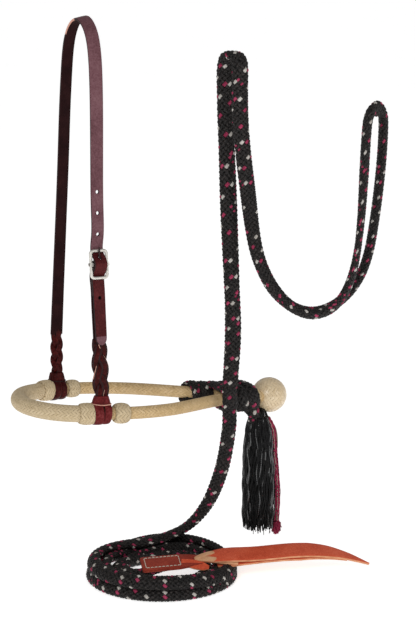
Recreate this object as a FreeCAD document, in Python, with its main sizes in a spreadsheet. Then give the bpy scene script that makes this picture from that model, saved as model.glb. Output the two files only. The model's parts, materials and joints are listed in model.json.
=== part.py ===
import FreeCAD, Part
import math
import os
import Sketcher

# Bosal hackamore with its hanger and mecate. Millimetres, +X from nose to heel,
# +Y from the near side to the far side, +Z up. Origin: top of the crown strap.

V = FreeCAD.Vector
doc = FreeCAD.newDocument("hackamore")

# ---------------------------------------------------------------- dimensions
SIZES = [
    ("strap_width", 14.4),
    ("strap_thick", 2.8),
    ("billet_thick", 2.4),
    ("hole_diameter", 4.0),
    ("hole_pitch", 23.0),
    ("tongue_slot", 4.0),
    ("crown_half", 40.0),
    ("headstall_lean", 1.35),
    ("strap_slope", 8.0),
    ("buckle_wire", 1.7),
    ("buckle_width", 18.6),
    ("buckle_tall", 29.4),
    ("buckle_corner", 3.6),
    ("eye_radius", 2.8),
    ("bar_radius", 1.5),
    ("bar_length", 22.4),
    ("tongue_wire", 1.1),
    ("tongue_ring", 2.8),
    ("braid_near", 20.0),
    ("braid_far", 17.0),
    ("braid_thick", 6.4),
    ("braid_end", 8.0),
    ("collar_thick", 9.0),
    ("wrap_bore", 7.9),
    ("wrap_radius", 12.6),
    ("core_radius", 4.0),
    ("shank_bore", 4.3),
    ("shank_radius", 7.0),
    ("button_radius", 9.3),
    ("end_bore", 10.0),
    ("end_radius", 12.2),
    ("end_length", 17.0),
    ("stop_bore", 7.7),
    ("stop_radius", 11.6),
    ("stop_length", 17.0),
    ("shank_gap", 7.6),
    ("knot_radius", 20.8),
    ("knot_bore", 7.3),
    ("collar_ring", 4.0),
    ("bosal_tilt", 5.11),
    ("bosal_drop", 426.3),
    ("rope_radius", 7.0),
    ("coil_outer", 85.0),
    ("coil_inner", 20.0),
    ("coil_tall", 14.0),
    ("floor_drop", 645.0),
    ("popper_width", 30.0),
    ("popper_thick", 2.6),
    ("neck_radius", 9.0),
    ("yarn_cup", 9.4),
    ("red_radius", 3.6),
    ("white_radius", 3.0),
]
sheet = doc.addObject("Spreadsheet::Sheet", "Dimensions")
for row, (alias, number) in enumerate(SIZES, start=1):
    sheet.set("A%d" % row, alias.replace("_", " "))
    sheet.set("B%d" % row, str(number))
    sheet.setAlias("B%d" % row, alias)
doc.recompute()
SIZE = {alias: float(sheet.get(alias)) for alias, _ in SIZES}
nodes = []


def bind(obj, prop, formula):
    """Drive one property from the sheet; words in the formula are aliases."""
    words = sorted(SIZE, key=len, reverse=True)
    for word in words:
        formula = formula.replace("<%s>" % word, "Dimensions." + word)
    obj.setExpression(prop, formula)


# ---------------------------------------------------------------- placements
def turned(axis, degrees, base=V(0, 0, 0)):
    return FreeCAD.Placement(base, FreeCAD.Rotation(axis, degrees))


HEADSTALL = turned(V(0, 1, 0), SIZE["headstall_lean"])
BOSAL = turned(V(0, 1, 0), SIZE["bosal_tilt"], V(0, 0, -SIZE["bosal_drop"]))


# ---------------------------------------------------------------- helpers
PLANES = {"XY": 3, "XZ": 4, "YZ": 5}


def new_body(label, placement):
    body = doc.addObject("PartDesign::Body", label)
    body.Label = label
    body.Placement = placement
    nodes.append(body)
    return body


def new_sketch(body, plane, name, offset=None):
    sketch = body.newObject("Sketcher::SketchObject", body.Label + "_" + name)
    sketch.AttachmentSupport = (body.Origin.OriginFeatures[PLANES[plane]], [""])
    sketch.MapMode = "FlatFace"
    if offset is not None:
        sketch.AttachmentOffset = offset
    return sketch


def circle(sketch, x, y, formula):
    """A circle whose radius is bound to the sheet."""
    index = sketch.addGeometry(Part.Circle(V(x, y, 0), V(0, 0, 1), 1.0))
    rule = sketch.addConstraint(Sketcher.Constraint("Radius", index, 1.0))
    bind(sketch, "Constraints[%d]" % rule, formula)
    for axis, shift in (("DistanceX", x), ("DistanceY", y)):
        if abs(shift) > 1e-6:
            sketch.addConstraint(Sketcher.Constraint(axis, -1, 1, index, 3, shift))
        elif axis == "DistanceX":
            sketch.addConstraint(Sketcher.Constraint("PointOnObject", index, 3, -2))
        else:
            sketch.addConstraint(Sketcher.Constraint("PointOnObject", index, 3, -1))
    return index


def outline(sketch, points):
    """A closed outline of straight edges through the points."""
    for start, end in zip(points, points[1:] + points[:1]):
        sketch.addGeometry(Part.LineSegment(V(start[0], start[1], 0), V(end[0], end[1], 0)))


def smooth(points):
    curve = Part.BSplineCurve()
    curve.interpolate([V(x, y, 0) for x, y in points])
    return curve


def add_curve(sketch, curve, pieces):
    """Add a smooth curve to a sketch as short edges that meet end to end."""
    first, last = curve.FirstParameter, curve.LastParameter
    for step in range(pieces):
        piece = curve.copy()
        piece.segment(first + (last - first) * step / pieces,
                      first + (last - first) * (step + 1) / pieces)
        sketch.addGeometry(piece)


def ribbon(sketch, points, thick):
    """A closed band of even thickness along a smooth line."""
    line = smooth(points)
    first, last = line.FirstParameter, line.LastParameter
    count = 4 * len(points)
    sides = ([], [])
    for step in range(count + 1):
        at = first + (last - first) * step / count
        here = line.value(at)
        along = line.tangent(at)[0]
        for side, sign in zip(sides, (1, -1)):
            side.append((here.x - sign * along.y * thick / 2, here.y + sign * along.x * thick / 2))
    for side in sides:
        add_curve(sketch, smooth(side), 2 * len(points))
    for end in (0, -1):
        start, stop = sides[0][end], sides[1][end]
        sketch.addGeometry(Part.LineSegment(V(start[0], start[1], 0), V(stop[0], stop[1], 0)))


def pad(body, sketch, formula, both_ways=True):
    feature = body.newObject("PartDesign::Pad", sketch.Name + "_pad")
    feature.Profile = sketch
    if both_ways:
        feature.Midplane = True
    bind(feature, "Length", formula)
    return feature


def pocket(body, sketch, length, backwards=False):
    feature = body.newObject("PartDesign::Pocket", sketch.Name + "_pocket")
    feature.Profile = sketch
    feature.Length = length
    feature.Reversed = backwards
    return feature


def turn_about(body, sketch, axis):
    feature = body.newObject("PartDesign::Revolution", sketch.Name + "_turn")
    feature.Profile = sketch
    feature.ReferenceAxis = (sketch, [axis])
    feature.Angle = 360.0
    return feature


def volume(body):
    doc.recompute()
    return body.Shape.Volume


# ---------------------------------------------------------------- leather hanger
BUCKLE = (-51.0, -262.0)
SLOPE = math.radians(SIZE["strap_slope"])


def by_buckle(down, out):
    """A point by the centre bar: so far down the strap and so far out from it, as (Y, Z)."""
    return (BUCKLE[0] - down * math.sin(SLOPE) - out * math.cos(SLOPE),
            BUCKLE[1] - down * math.cos(SLOPE) + out * math.sin(SLOPE))


def crown_line():
    """Centre line of the long strap, from the far braid over the crown to the near tip."""
    far = [(62.5, -361.0), (59.3, -320.0), (55.6, -275.0), (51.0, -220.0),
           (46.0, -155.0), (42.0, -95.0)]
    half = SIZE["crown_half"]
    arch = []
    for share, drop in ((0.97, 62.0), (0.88, 38.0), (0.68, 17.0), (0.37, 4.6)):
        arch.append((half * share, -SIZE["strap_thick"] / 2 - drop))
    top = [(0.0, -SIZE["strap_thick"] / 2)]
    arch = arch + top + [(-y, z) for y, z in reversed(arch)]
    near = [(-41.0, -95.0), (-43.0, -155.0), (-45.5, -205.0)]
    through = [(-30, -0.6), (-22, -3.2), (-15, -4.0), (-7.5, 1.0), (0, 6.4), (7.5, 1.0),
               (15, -4.0), (23, -4.0), (45, -3.6), (70, -3.4), (88, -3.4)]
    return far + arch + near + [by_buckle(down, out) for down, out in through]


crown = new_body("crown_strap", HEADSTALL)
side_view = new_sketch(crown, "YZ", "side")
ribbon(side_view, crown_line(), SIZE["strap_thick"])
pad(crown, side_view, "<strap_width>")
before = volume(crown)

# Holes for the tongue, and the slot that the tongue is in.
punch = new_sketch(crown, "XZ", "holes", FreeCAD.Placement(V(0, 0, 30), FreeCAD.Rotation()))
for count in (1, 2, 3, -2):
    circle(punch, 0, BUCKLE[1] + 9.0 + count * SIZE["hole_pitch"], "<hole_diameter> / 2")
half_slot = SIZE["tongue_slot"] / 2
outline(punch, [(-half_slot, BUCKLE[1] + 1.2), (half_slot, BUCKLE[1] + 1.2),
                (half_slot, BUCKLE[1] + 13.0), (-half_slot, BUCKLE[1] + 13.0)])
pocket(crown, punch, 60.0, backwards=True)
if volume(crown) >= before:
    raise RuntimeError("the strap holes cut nothing")


def billet_line():
    """The short strap: front leg, fold round the centre bar, long back leg."""
    front = [(34, -7.0), (22, -7.1), (15, -7.5), (10, -5.7), (5, -1.4), (1.6, 2.6)]
    fold = []
    for degrees in (40, 90, 140):
        angle = math.radians(degrees)
        fold.append((-3.4 * math.sin(angle), 3.4 * math.cos(angle)))
    back = [(1.5, -3.6), (5, -6.6), (10, -10.1), (15, -10.9), (22, -10.1), (40, -9.9), (60, -9.9),
            (87, -9.6)]
    return [by_buckle(down, out) for down, out in front + fold + back]


billet = new_body("billet_strap", HEADSTALL)
side_view = new_sketch(billet, "YZ", "side")
ribbon(side_view, billet_line(), SIZE["billet_thick"])
pad(billet, side_view, "<strap_width> - 1")
before = volume(billet)
# Slot through the fold, where the tongue's ring turns on the bar.
slot = new_sketch(billet, "XZ", "slot", FreeCAD.Placement(V(0, 0, 30), FreeCAD.Rotation()))
outline(slot, [(-half_slot, BUCKLE[1] - 8.0), (half_slot, BUCKLE[1] - 8.0),
               (half_slot, BUCKLE[1] + 8.0), (-half_slot, BUCKLE[1] + 8.0)])
pocket(billet, slot, 60.0, backwards=True)
if volume(billet) >= before:
    raise RuntimeError("the billet slot cut nothing")


def thread_bar(label, start, end, radius):
    """A plain round bar between two points."""
    bar = doc.addObject("Part::Cylinder", label)
    bar.Label = label
    bar.Radius = radius
    bar.Height = (end - start).Length
    bar.Placement = FreeCAD.Placement(start, FreeCAD.Rotation(V(0, 0, 1), end - start))
    return bar


# Thread that closes the fold: two rows through both legs.
rows = []
for side in (-1, 1):
    for down in (20.0, 24.0, 28.0):
        inner = by_buckle(down, -11.6)
        outer = by_buckle(down, -5.75)
        rows.append(thread_bar("billet_thread_%d_%d" % (side, int(down)),
                               V(side * 5.0, inner[0], inner[1]), V(side * 5.0, outer[0], outer[1]), 0.4))
    top = by_buckle(19.8, -11.75)
    bottom = by_buckle(28.2, -11.75)
    rows.append(thread_bar("billet_run_%d" % side, V(side * 5.0, top[0], top[1]),
                           V(side * 5.0, bottom[0], bottom[1]), 0.4))
left = by_buckle(24.0, -11.75)
rows.append(thread_bar("billet_cross", V(-5.0, left[0], left[1]), V(5.0, left[0], left[1]), 0.4))
stitching = doc.addObject("Part::MultiFuse", "billet_stitching")
stitching.Label = "billet_stitching"
stitching.Shapes = rows
stitching.Placement = HEADSTALL
nodes.append(stitching)


def slit_braid(label, top, bottom, width):
    """Three-strand flat braid: scalloped sides and a round lower end."""
    body = new_body(label, HEADSTALL)
    front = new_sketch(body, "XZ", "outline")
    length = math.hypot(top[0] - bottom[0], top[1] - bottom[1])
    half = width / 2
    lobe = length / 3.0
    right = [(half - 2.6, 0.0)]
    for count in range(3):
        right.append((half, -lobe * (count + 0.45)))
        if count < 2:
            right.append((half - 1.7, -lobe * (count + 1)))
    end_radius = SIZE["braid_end"]
    right.append((end_radius, -length))
    left_side = [(-x, y) for x, y in right]
    add_curve(front, smooth(right), 6)
    add_curve(front, smooth(left_side), 6)
    front.addGeometry(Part.LineSegment(V(right[0][0], 0, 0), V(left_side[0][0], 0, 0)))
    front.addGeometry(Part.Arc(V(end_radius, -length, 0), V(0, -length - end_radius, 0),
                               V(-end_radius, -length, 0)))
    pad(body, front, "<braid_thick>")
    lean = math.degrees(math.atan2(bottom[0] - top[0], top[1] - bottom[1]))
    own = FreeCAD.Placement(V(0, top[0], top[1]), FreeCAD.Rotation(V(1, 0, 0), lean))
    body.Placement = HEADSTALL.multiply(own)
    return body


HINGE_Z = -400.1
slit_braid("far_slit_braid", (62.7, -361.6), (61.5, HINGE_Z), SIZE["braid_far"])
slit_braid("near_slit_braid", by_buckle(87.6, -9.6), (-60.0, HINGE_Z), SIZE["braid_near"])

# ---------------------------------------------------------------- buckle
AT_BUCKLE = HEADSTALL.multiply(turned(V(1, 0, 0), -SIZE["strap_slope"], V(0, BUCKLE[0], BUCKLE[1])))

frame = new_body("buckle_frame", AT_BUCKLE)
path = new_sketch(frame, "XZ", "path")
wide, tall, corner = SIZE["buckle_width"] / 2, SIZE["buckle_tall"] / 2, SIZE["buckle_corner"]
turn = corner * (1 - math.sqrt(0.5))
quarters = [((0, tall), (wide - corner, tall), (wide - turn, tall - turn), (wide, tall - corner)),
            ((wide, tall - corner), (wide, corner - tall), (wide - turn, turn - tall),
             (wide - corner, -tall)),
            ((wide - corner, -tall), (corner - wide, -tall), (turn - wide, turn - tall),
             (-wide, corner - tall)),
            ((-wide, corner - tall), (-wide, tall - corner), (turn - wide, tall - turn),
             (corner - wide, tall))]
for start, end, middle, after in quarters:
    path.addGeometry(Part.LineSegment(V(start[0], start[1], 0), V(end[0], end[1], 0)))
    path.addGeometry(Part.Arc(V(end[0], end[1], 0), V(middle[0], middle[1], 0), V(after[0], after[1], 0)))
path.addGeometry(Part.LineSegment(V(corner - wide, tall, 0), V(0, tall, 0)))
wire_section = new_sketch(frame, "YZ", "section")
circle(wire_section, 0, tall, "<buckle_wire>")
wire_pipe = frame.newObject("PartDesign::AdditivePipe", "buckle_frame_pipe")
wire_pipe.Profile = wire_section
wire_pipe.Spine = path
eyes = new_sketch(frame, "XZ", "eyes")
for side in (-1, 1):
    circle(eyes, side * wide, 0, "<buckle_wire> + 0.5")
pad(frame, eyes, "2 * <eye_radius>")
before = volume(frame)
bar_hole = new_sketch(frame, "YZ", "bar_hole", FreeCAD.Placement(V(0, 0, -20), FreeCAD.Rotation()))
circle(bar_hole, 0, 0, "<bar_radius> + 0.05")
pocket(frame, bar_hole, 40.0, backwards=True)
if volume(frame) >= before:
    raise RuntimeError("the bar hole cut nothing")

bar = doc.addObject("Part::Cylinder", "buckle_bar")
bar.Label = "buckle_bar"
bind(bar, "Radius", "<bar_radius>")
bind(bar, "Height", "<bar_length>")
bar.Placement = AT_BUCKLE.multiply(turned(V(0, 1, 0), 90, V(-SIZE["bar_length"] / 2, 0, 0)))
nodes.append(bar)

# Tongue: a ring round the bar and a pin that rests on the top wire.
ring = doc.addObject("Part::Torus", "tongue_ring")
bind(ring, "Radius1", "<tongue_ring>")
bind(ring, "Radius2", "<tongue_wire>")
ring.Placement = turned(V(0, 1, 0), 90)
pin_start, pin_end = V(0, -1.6, 2.6), V(0, -3.1, 17.6)
pin = doc.addObject("Part::Cone", "tongue_pin")
bind(pin, "Radius1", "<tongue_wire>")
bind(pin, "Radius2", "<tongue_wire> - 0.2")
pin.Height = (pin_end - pin_start).Length
pin.Placement = FreeCAD.Placement(pin_start, FreeCAD.Rotation(V(0, 0, 1), pin_end - pin_start))
tip = doc.addObject("Part::Sphere", "tongue_tip")
bind(tip, "Radius", "<tongue_wire> - 0.2")
tip.Placement.Base = pin_end
tongue = doc.addObject("Part::MultiFuse", "buckle_tongue")
tongue.Label = "buckle_tongue"
tongue.Shapes = [ring, pin, tip]
tongue.Placement = AT_BUCKLE
nodes.append(tongue)

# ---------------------------------------------------------------- bosal
NOSE = (-79.5, -4.0)
NOSE_NEAR_SIDE = [(-76.5, -24.0), (-65.0, -43.0), (-46.5, -55.5), (-25.0, -60.5)]
NOSE_FAR_SIDE = [(-75.5, 15.0), (-64.0, 35.5), (-46.0, 49.5), (-25.0, 57.5)]
SHANK_PLAN = [(0.0, 62.0), (25.0, 63.5), (50.0, 61.0), (75.0, 55.5), (100.0, 46.0), (125.0, 34.0),
              (150.0, 22.0), (175.0, 12.5), (200.0, 8.2), (214.0, 7.6), (228.0, 7.6)]
near_run = NOSE_NEAR_SIDE + [(x, -y) for x, y in SHANK_PLAN]
plan = smooth(near_run[::-1] + [NOSE] + NOSE_FAR_SIDE + SHANK_PLAN)


def plan_at(x, side):
    """Where the U passes this X on one side: its parameter, point and tangent."""
    low, high = plan.FirstParameter, plan.LastParameter
    nose = plan.parameter(V(NOSE[0], NOSE[1], 0))
    inside, outside = (nose, low) if side < 0 else (nose, high)
    for _ in range(50):
        middle = (inside + outside) / 2
        if plan.value(middle).x < x:
            inside = middle
        else:
            outside = middle
    along = plan.tangent(middle)[0]
    return middle, plan.value(middle), along


def plan_tube(label, start, end, outer, bore=None):
    """A tube along part of the U, between two parameters."""
    body = new_body(label, BOSAL)
    line = plan.copy()
    line.segment(start, end)
    path = new_sketch(body, "XY", "path")
    add_curve(path, line, 24)
    point, along = line.value(line.FirstParameter), line.tangent(line.FirstParameter)[0]
    facing = FreeCAD.Rotation(V(0, 0, 1), along)
    section = new_sketch(body, "XY", "section", FreeCAD.Placement(point, facing))
    circle(section, 0, 0, outer)
    if bore:
        circle(section, 0, 0, bore)
    pipe = body.newObject("PartDesign::AdditivePipe", label + "_pipe")
    pipe.Profile = section
    pipe.Spine = path
    return body


NOSE_NEAR, NOSE_FAR = -19.4, -17.4
near_end, far_end = plan_at(NOSE_NEAR, -1)[0], plan_at(NOSE_FAR, 1)[0]
near_start, far_start = plan_at(NOSE_NEAR + 0.4, -1)[0], plan_at(NOSE_FAR + 0.4, 1)[0]
heel_near, heel_far = plan_at(226.0, -1)[0], plan_at(226.0, 1)[0]
plan_tube("bosal_core", heel_near, heel_far, "<core_radius>")
plan_tube("nose_button", near_end, far_end, "<button_radius>", "<shank_bore>")
plan_tube("near_shank", heel_near, near_start, "<shank_radius>", "<shank_bore>")
plan_tube("far_shank", far_start, heel_far, "<shank_radius>", "<shank_bore>")


def on_branch(x, side):
    """Placement at a point of the U with local X along the branch."""
    _, point, along = plan_at(x, side)
    yaw = math.degrees(math.atan2(along.y, along.x))
    if abs(yaw) > 90:
        yaw -= math.copysign(180, yaw)
    return BOSAL.multiply(turned(V(0, 0, 1), yaw, point))


def knot_ring(label, x, side, bore, radius, length, lobes):
    """A braided knot as a ring about the branch, with one or more rounded lobes."""
    body = new_body(label, on_branch(x, side))
    profile = new_sketch(body, "XZ", "profile")
    half = length / 2
    step = length / lobes
    for lobe in range(lobes):
        left_x = -half + lobe * step
        low = bore + 0.45 * (radius - bore)
        profile.addGeometry(Part.Arc(V(left_x, low, 0), V(left_x + step / 2, radius, 0),
                                     V(left_x + step, low, 0)))
    profile.addGeometry(Part.LineSegment(V(half, low, 0), V(half, bore, 0)))
    profile.addGeometry(Part.LineSegment(V(half, bore, 0), V(-half, bore, 0)))
    profile.addGeometry(Part.LineSegment(V(-half, bore, 0), V(-half, low, 0)))
    turn_about(body, profile, "H_Axis")
    return body


for name, x, side in (("nose_end_near", -27.2, -1), ("nose_end_far", -25.2, 1)):
    knot_ring(name, x, side, SIZE["end_bore"], SIZE["end_radius"], SIZE["end_length"], 1)
for name, x, side in (("side_stop_near", 12.8, -1), ("side_stop_far", 12.2, 1)):
    knot_ring(name, x, side, SIZE["stop_bore"], SIZE["stop_radius"], SIZE["stop_length"], 1)

# Cheek wraps: two bands round the branch and a flat collar up to the slit braid.
hinge = BOSAL.inverse().multVec(HEADSTALL.multVec(V(0, 0, HINGE_Z)))
collar_top = hinge.z - SIZE["braid_end"] - 0.4
for name, x, side, length in (("near_cheek_wrap", -7.8, -1, 20.0), ("far_cheek_wrap", -6.4, 1, 19.0)):
    wrap = knot_ring(name, x, side, SIZE["wrap_bore"], SIZE["wrap_radius"], length, 2)
    face = new_sketch(wrap, "XZ", "collar")
    centre = hinge.x - x
    outline(face, [(-length / 2 + 0.5, 9.6), (length / 2 - 0.5, 9.6), (centre + 8.0, collar_top),
                   (centre - 8.0, collar_top)])
    pad(wrap, face, "<collar_thick>")

# Heel knot: a ball with two blind sockets for the shanks.
knot = new_body("heel_knot", BOSAL.multiply(turned(V(0, 0, 1), 0, V(237.0, 0, 0))))
half_round = new_sketch(knot, "XZ", "half")
ball = SIZE["knot_radius"]
half_round.addGeometry(Part.Arc(V(-ball, 0, 0), V(0, ball, 0), V(ball, 0, 0)))
half_round.addGeometry(Part.LineSegment(V(ball, 0, 0), V(-ball, 0, 0)))
turn_about(knot, half_round, "H_Axis")
before = volume(knot)
sockets = new_sketch(knot, "YZ", "sockets", FreeCAD.Placement(V(0, 0, -30), FreeCAD.Rotation()))
for side in (-1, 1):
    circle(sockets, side * SIZE["shank_gap"], 0, "<knot_bore>")
pocket(knot, sockets, 20.0, backwards=True)
if volume(knot) >= before:
    raise RuntimeError("the sockets cut nothing")


def stadium(sketch, half_gap, radius):
    """Two half circles joined by straight sides, centred on the sketch's origin."""
    sketch.addGeometry(Part.Arc(V(half_gap, -radius, 0), V(half_gap + radius, 0, 0), V(half_gap, radius, 0)))
    sketch.addGeometry(Part.LineSegment(V(half_gap, radius, 0), V(-half_gap, radius, 0)))
    sketch.addGeometry(Part.Arc(V(-half_gap, radius, 0), V(-half_gap - radius, 0, 0),
                                V(-half_gap, -radius, 0)))
    sketch.addGeometry(Part.LineSegment(V(-half_gap, -radius, 0), V(half_gap, -radius, 0)))


collar = new_body("heel_collar", BOSAL.multiply(turned(V(0, 0, 1), 0, V(213.6, 0, 0))))
ring_view = new_sketch(collar, "YZ", "ring")
stadium(ring_view, 7.6, 9.6)
stadium(ring_view, 7.6, 7.9)
pad(collar, ring_view, "<collar_ring>")

# ---------------------------------------------------------------- mecate on the bosal
def tapered_wrap(label, start, end, bore_start, bore_end, rope_start, rope_end):
    """Turns of rope round both shanks: a tapered sleeve, wide at the first end."""
    body = new_body(label, BOSAL)
    features = (("outer", "PartDesign::AdditiveLoft", rope_start, rope_end),
                ("bore", "PartDesign::SubtractiveLoft", 0.0, 0.0))
    for name, kind, first, last in features:
        ends = []
        for tag, x, (gap, radius), extra in (("first", start, bore_start, first),
                                             ("last", end, bore_end, last)):
            section = new_sketch(body, "YZ", name + "_" + tag,
                                 FreeCAD.Placement(V(0, 0, x), FreeCAD.Rotation()))
            stadium(section, gap, radius + extra)
            ends.append(section)
        loft = body.newObject(kind, "%s_%s_loft" % (label, name))
        loft.Profile = ends[0]
        loft.Sections = [ends[1]]
        doc.recompute()
    return body


tapered_wrap("mecate_wraps", 166.0, 210.5, (16.0, 8.0), (9.0, 7.7), 7.0, 10.0)
knot_ring("far_shank_wraps", 146.0, 1, 8.4, 15.4, 24.0, 2)

crossing = doc.addObject("Part::Cylinder", "rope_crossing")
crossing.Label = "rope_crossing"
bind(crossing, "Radius", "<rope_radius>")
crossing.Height = 39.4
crossing.Placement = FreeCAD.Placement(V(159.0, -43.6, -460.8), FreeCAD.Rotation())
nodes.append(crossing)


# ---------------------------------------------------------------- free rope
def cord(label, points, formula, report=True):
    """A round rope of straight runs joined by tangent arcs through the points."""
    corners = [V(*p) for p in points]
    edges = []
    radii = []
    start = corners[0]
    for before_p, at, after_p in zip(corners, corners[1:], corners[2:]):
        back = before_p - at
        ahead = after_p - at
        turn_angle = math.pi - back.getAngle(ahead)
        cut = 0.45 * min(back.Length, ahead.Length)
        bend = cut / math.tan(turn_angle / 2)
        radii.append(bend)
        back.normalize()
        ahead.normalize()
        enter = at + back * cut
        leave = at + ahead * cut
        inward = (back + ahead).normalize()
        centre = at + inward * (bend / math.cos(turn_angle / 2))
        middle = centre - inward * bend
        edges.append(Part.LineSegment(start, enter).toShape())
        edges.append(Part.Arc(enter, middle, leave).toShape())
        start = leave
    edges.append(Part.LineSegment(start, corners[-1]).toShape())
    wire = Part.Wire(edges)
    radius = SIZE["rope_radius"]
    first = (corners[1] - corners[0]).normalize()
    section = Part.Wire([Part.Circle(corners[0], first, radius).toShape()])
    solid = wire.makePipeShell([section], True, False, 0)
    rope = doc.addObject("Part::Feature", label)
    rope.Label = label
    rope.Shape = solid
    nodes.append(rope)
    ideal = math.pi * radius ** 2 * wire.Length
    print("%s: length %.0f mm, smallest radius %.1f mm, volume %.3f of section x length"
          % (label, wire.Length, min(radii), solid.Volume / ideal))
    print("   radii: " + " ".join("%.0f" % r for r in radii))
    return wire.Length


REIN = [(159, -43.6, -419.6), (162, -42.6, -396), (166, -41, -356), (165.5, -37, -310),
        (164, -34, -258), (163, -30.5, -206), (163.5, -27, -150), (163, -24, -108), (164, -22, -78),
        (164.5, -21, -45), (167, -52.5, -44.5), (166, -53, -77.5), (166.5, -52, -108),
        (170.5, -52, -150), (177.5, -53, -199), (182, -54, -241), (188.5, -56, -272),
        (200, -62, -300), (216.5, -71, -323), (238, -82, -336.5), (257, -91, -334),
        (271, -99, -321), (281, -104, -299), (287, -108, -268), (291, -109, -228),
        (294, -110, -186), (296.5, -111, -144), (299, -112, -106),
        (329, -92, -106), (330, -91, -144), (327, -90, -190),
        (322, -88, -237), (317, -86, -271), (309, -82, -298), (295.5, -74, -321),
        (277, -63, -337), (256, -53, -341), (234.5, -42, -331), (217, -32, -310),
        (205, -27, -280), (197, -24, -244), (192, -23, -203), (187, -22, -155), (184, -22, -116),
        (183, -22.5, -86), (183, -22, -54), (180, 9.5, -54), (180, 8.5, -86), (181, 8, -119),
        (184, 8, -165), (186, 7, -215), (188, 7, -268), (190, 7, -325), (191, 8, -372),
        (190, 9, -400), (189.5, 9, -423.4)]
LEAD = [(159, -43.6, -462.4), (158.5, -39, -490), (156, -27, -529), (150.5, -6, -570),
        (139.5, 22, -603), (117, 44, -619.5), (94, 50, -623.8)]
cord("rein_loop", REIN, "<rope_radius>")
cord("lead_rope", LEAD, "<rope_radius>")

COIL_AT = V(88.0, -11.0, -SIZE["floor_drop"])
coil = new_body("lead_coil", FreeCAD.Placement(COIL_AT, FreeCAD.Rotation()))
rings = new_sketch(coil, "XY", "rings")
circle(rings, 0, 0, "<coil_outer>")
circle(rings, 0, 0, "<coil_inner>")
pad(coil, rings, "<coil_tall>", both_ways=False)

# ---------------------------------------------------------------- popper
POPPER_AT = FreeCAD.Placement(V(58.0, -17.0, -627.0), FreeCAD.Rotation(V(0, 0, 1), -17.5))
POPPER_AT = POPPER_AT.multiply(turned(V(1, 0, 0), 12.0))


def popper_tail(label, side_points, taper_from):
    """A leather tail: an arched band cut to a point in plan."""
    body = new_body(label, POPPER_AT)
    side_view = new_sketch(body, "XZ", "side")
    ribbon(side_view, side_points, SIZE["popper_thick"])
    pad(body, side_view, "<popper_width>")
    before = volume(body)
    cut = new_sketch(body, "XY", "point", FreeCAD.Placement(V(0, 0, 60), FreeCAD.Rotation()))
    half = SIZE["popper_width"] / 2 + 1
    end = side_points[-1][0]
    for side in (-1, 1):
        outline(cut, [(taper_from, side * (half - 0.5)), (taper_from, side * (half + 8)),
                      (end + 5, side * (half + 8)), (end + 5, side * 1.2), (end - 1, side * 1.2)])
    pocket(body, cut, 120.0)
    if volume(body) >= before:
        raise RuntimeError("the popper point cut nothing")
    return body


popper_tail("popper_upper", [(0, 3.0), (40, 4.4), (85, 6.0), (130, 8.5), (180, 10.0), (220, 6.0),
                             (250, -3.0), (272, -11.6)], 205.0)
popper_tail("popper_lower", [(88, 1.4), (130, 4.6), (180, 5.8), (215, 1.6), (245, -7.0)], 185.0)

thread = new_body("popper_stitching", POPPER_AT)
seam = new_sketch(thread, "XY", "seam", FreeCAD.Placement(V(0, 0, 6.2), FreeCAD.Rotation()))
for grow in (0.0, -1.0):
    outline(seam, [(4 - grow, -9 - grow), (40 + grow, -9 - grow), (40 + grow, 9 + grow), (4 - grow, 9 + grow)])
pad(thread, seam, "<popper_thick> / 3", both_ways=False)

# ---------------------------------------------------------------- tassel
TASSEL_AT = V(219.0, -6.0, -474.0)
neck = doc.addObject("Part::Sphere", "tassel_neck")
neck.Label = "tassel_neck"
bind(neck, "Radius", "<neck_radius>")
neck.Placement.Base = TASSEL_AT
nodes.append(neck)

black = new_body("tassel_black", FreeCAD.Placement(TASSEL_AT, FreeCAD.Rotation()))
yarn = new_sketch(black, "XZ", "profile")
cup = SIZE["yarn_cup"]
lip = (cup * math.sin(math.radians(60)), -cup * math.cos(math.radians(60)))
yarn.addGeometry(Part.Arc(V(0, -cup, 0), V(cup * 0.5, -cup * math.cos(math.radians(30)), 0),
                          V(lip[0], lip[1], 0)))
flank = [lip, (11.2, -7.6), (14.9, -18.0), (17.4, -36.0), (18.4, -70.0), (18.0, -110.0), (16.5, -136.0)]
add_curve(yarn, smooth(flank), 6)
yarn.addGeometry(Part.LineSegment(V(16.5, -136.0, 0), V(0, -136.0, 0)))
yarn.addGeometry(Part.LineSegment(V(0, -136.0, 0), V(0, -cup, 0)))
turn_about(black, yarn, "V_Axis")


def strand(label, points, formula, forward=0.0):
    """A soft strand of yarn in a plane beside the tassel's axis."""
    body = new_body(label, FreeCAD.Placement(TASSEL_AT - V(0, forward, 0), FreeCAD.Rotation()))
    line = smooth(points)
    path = new_sketch(body, "XZ", "path")
    add_curve(path, line, 4)
    along = line.tangent(line.FirstParameter)[0]
    facing = FreeCAD.Rotation(V(0, 0, 1), V(along.x, 0, along.y))
    section = new_sketch(body, "XY", "section",
                         FreeCAD.Placement(V(points[0][0], 0, points[0][1]), facing))
    circle(section, 0, 0, formula)
    pipe = body.newObject("PartDesign::AdditivePipe", label + "_pipe")
    pipe.Profile = section
    pipe.Spine = path
    return body


strand("tassel_red", [(19.2, -12.0), (22.4, -30.0), (23.4, -60.0), (23.4, -121.6)], "<red_radius>")
strand("tassel_white", [(13.2, -8.0), (16.4, -17.0), (18.4, -34.0)], "<white_radius>", forward=8.6)
tuft = doc.addObject("Part::Ellipsoid", "tassel_red_end")
tuft.Label = "tassel_red_end"
tuft.Radius1 = 8.5
tuft.Radius2 = 5.6
tuft.Radius3 = 5.6
tuft.Placement.Base = TASSEL_AT + V(23.4, 0, -131.0)
nodes.append(tuft)

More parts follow.
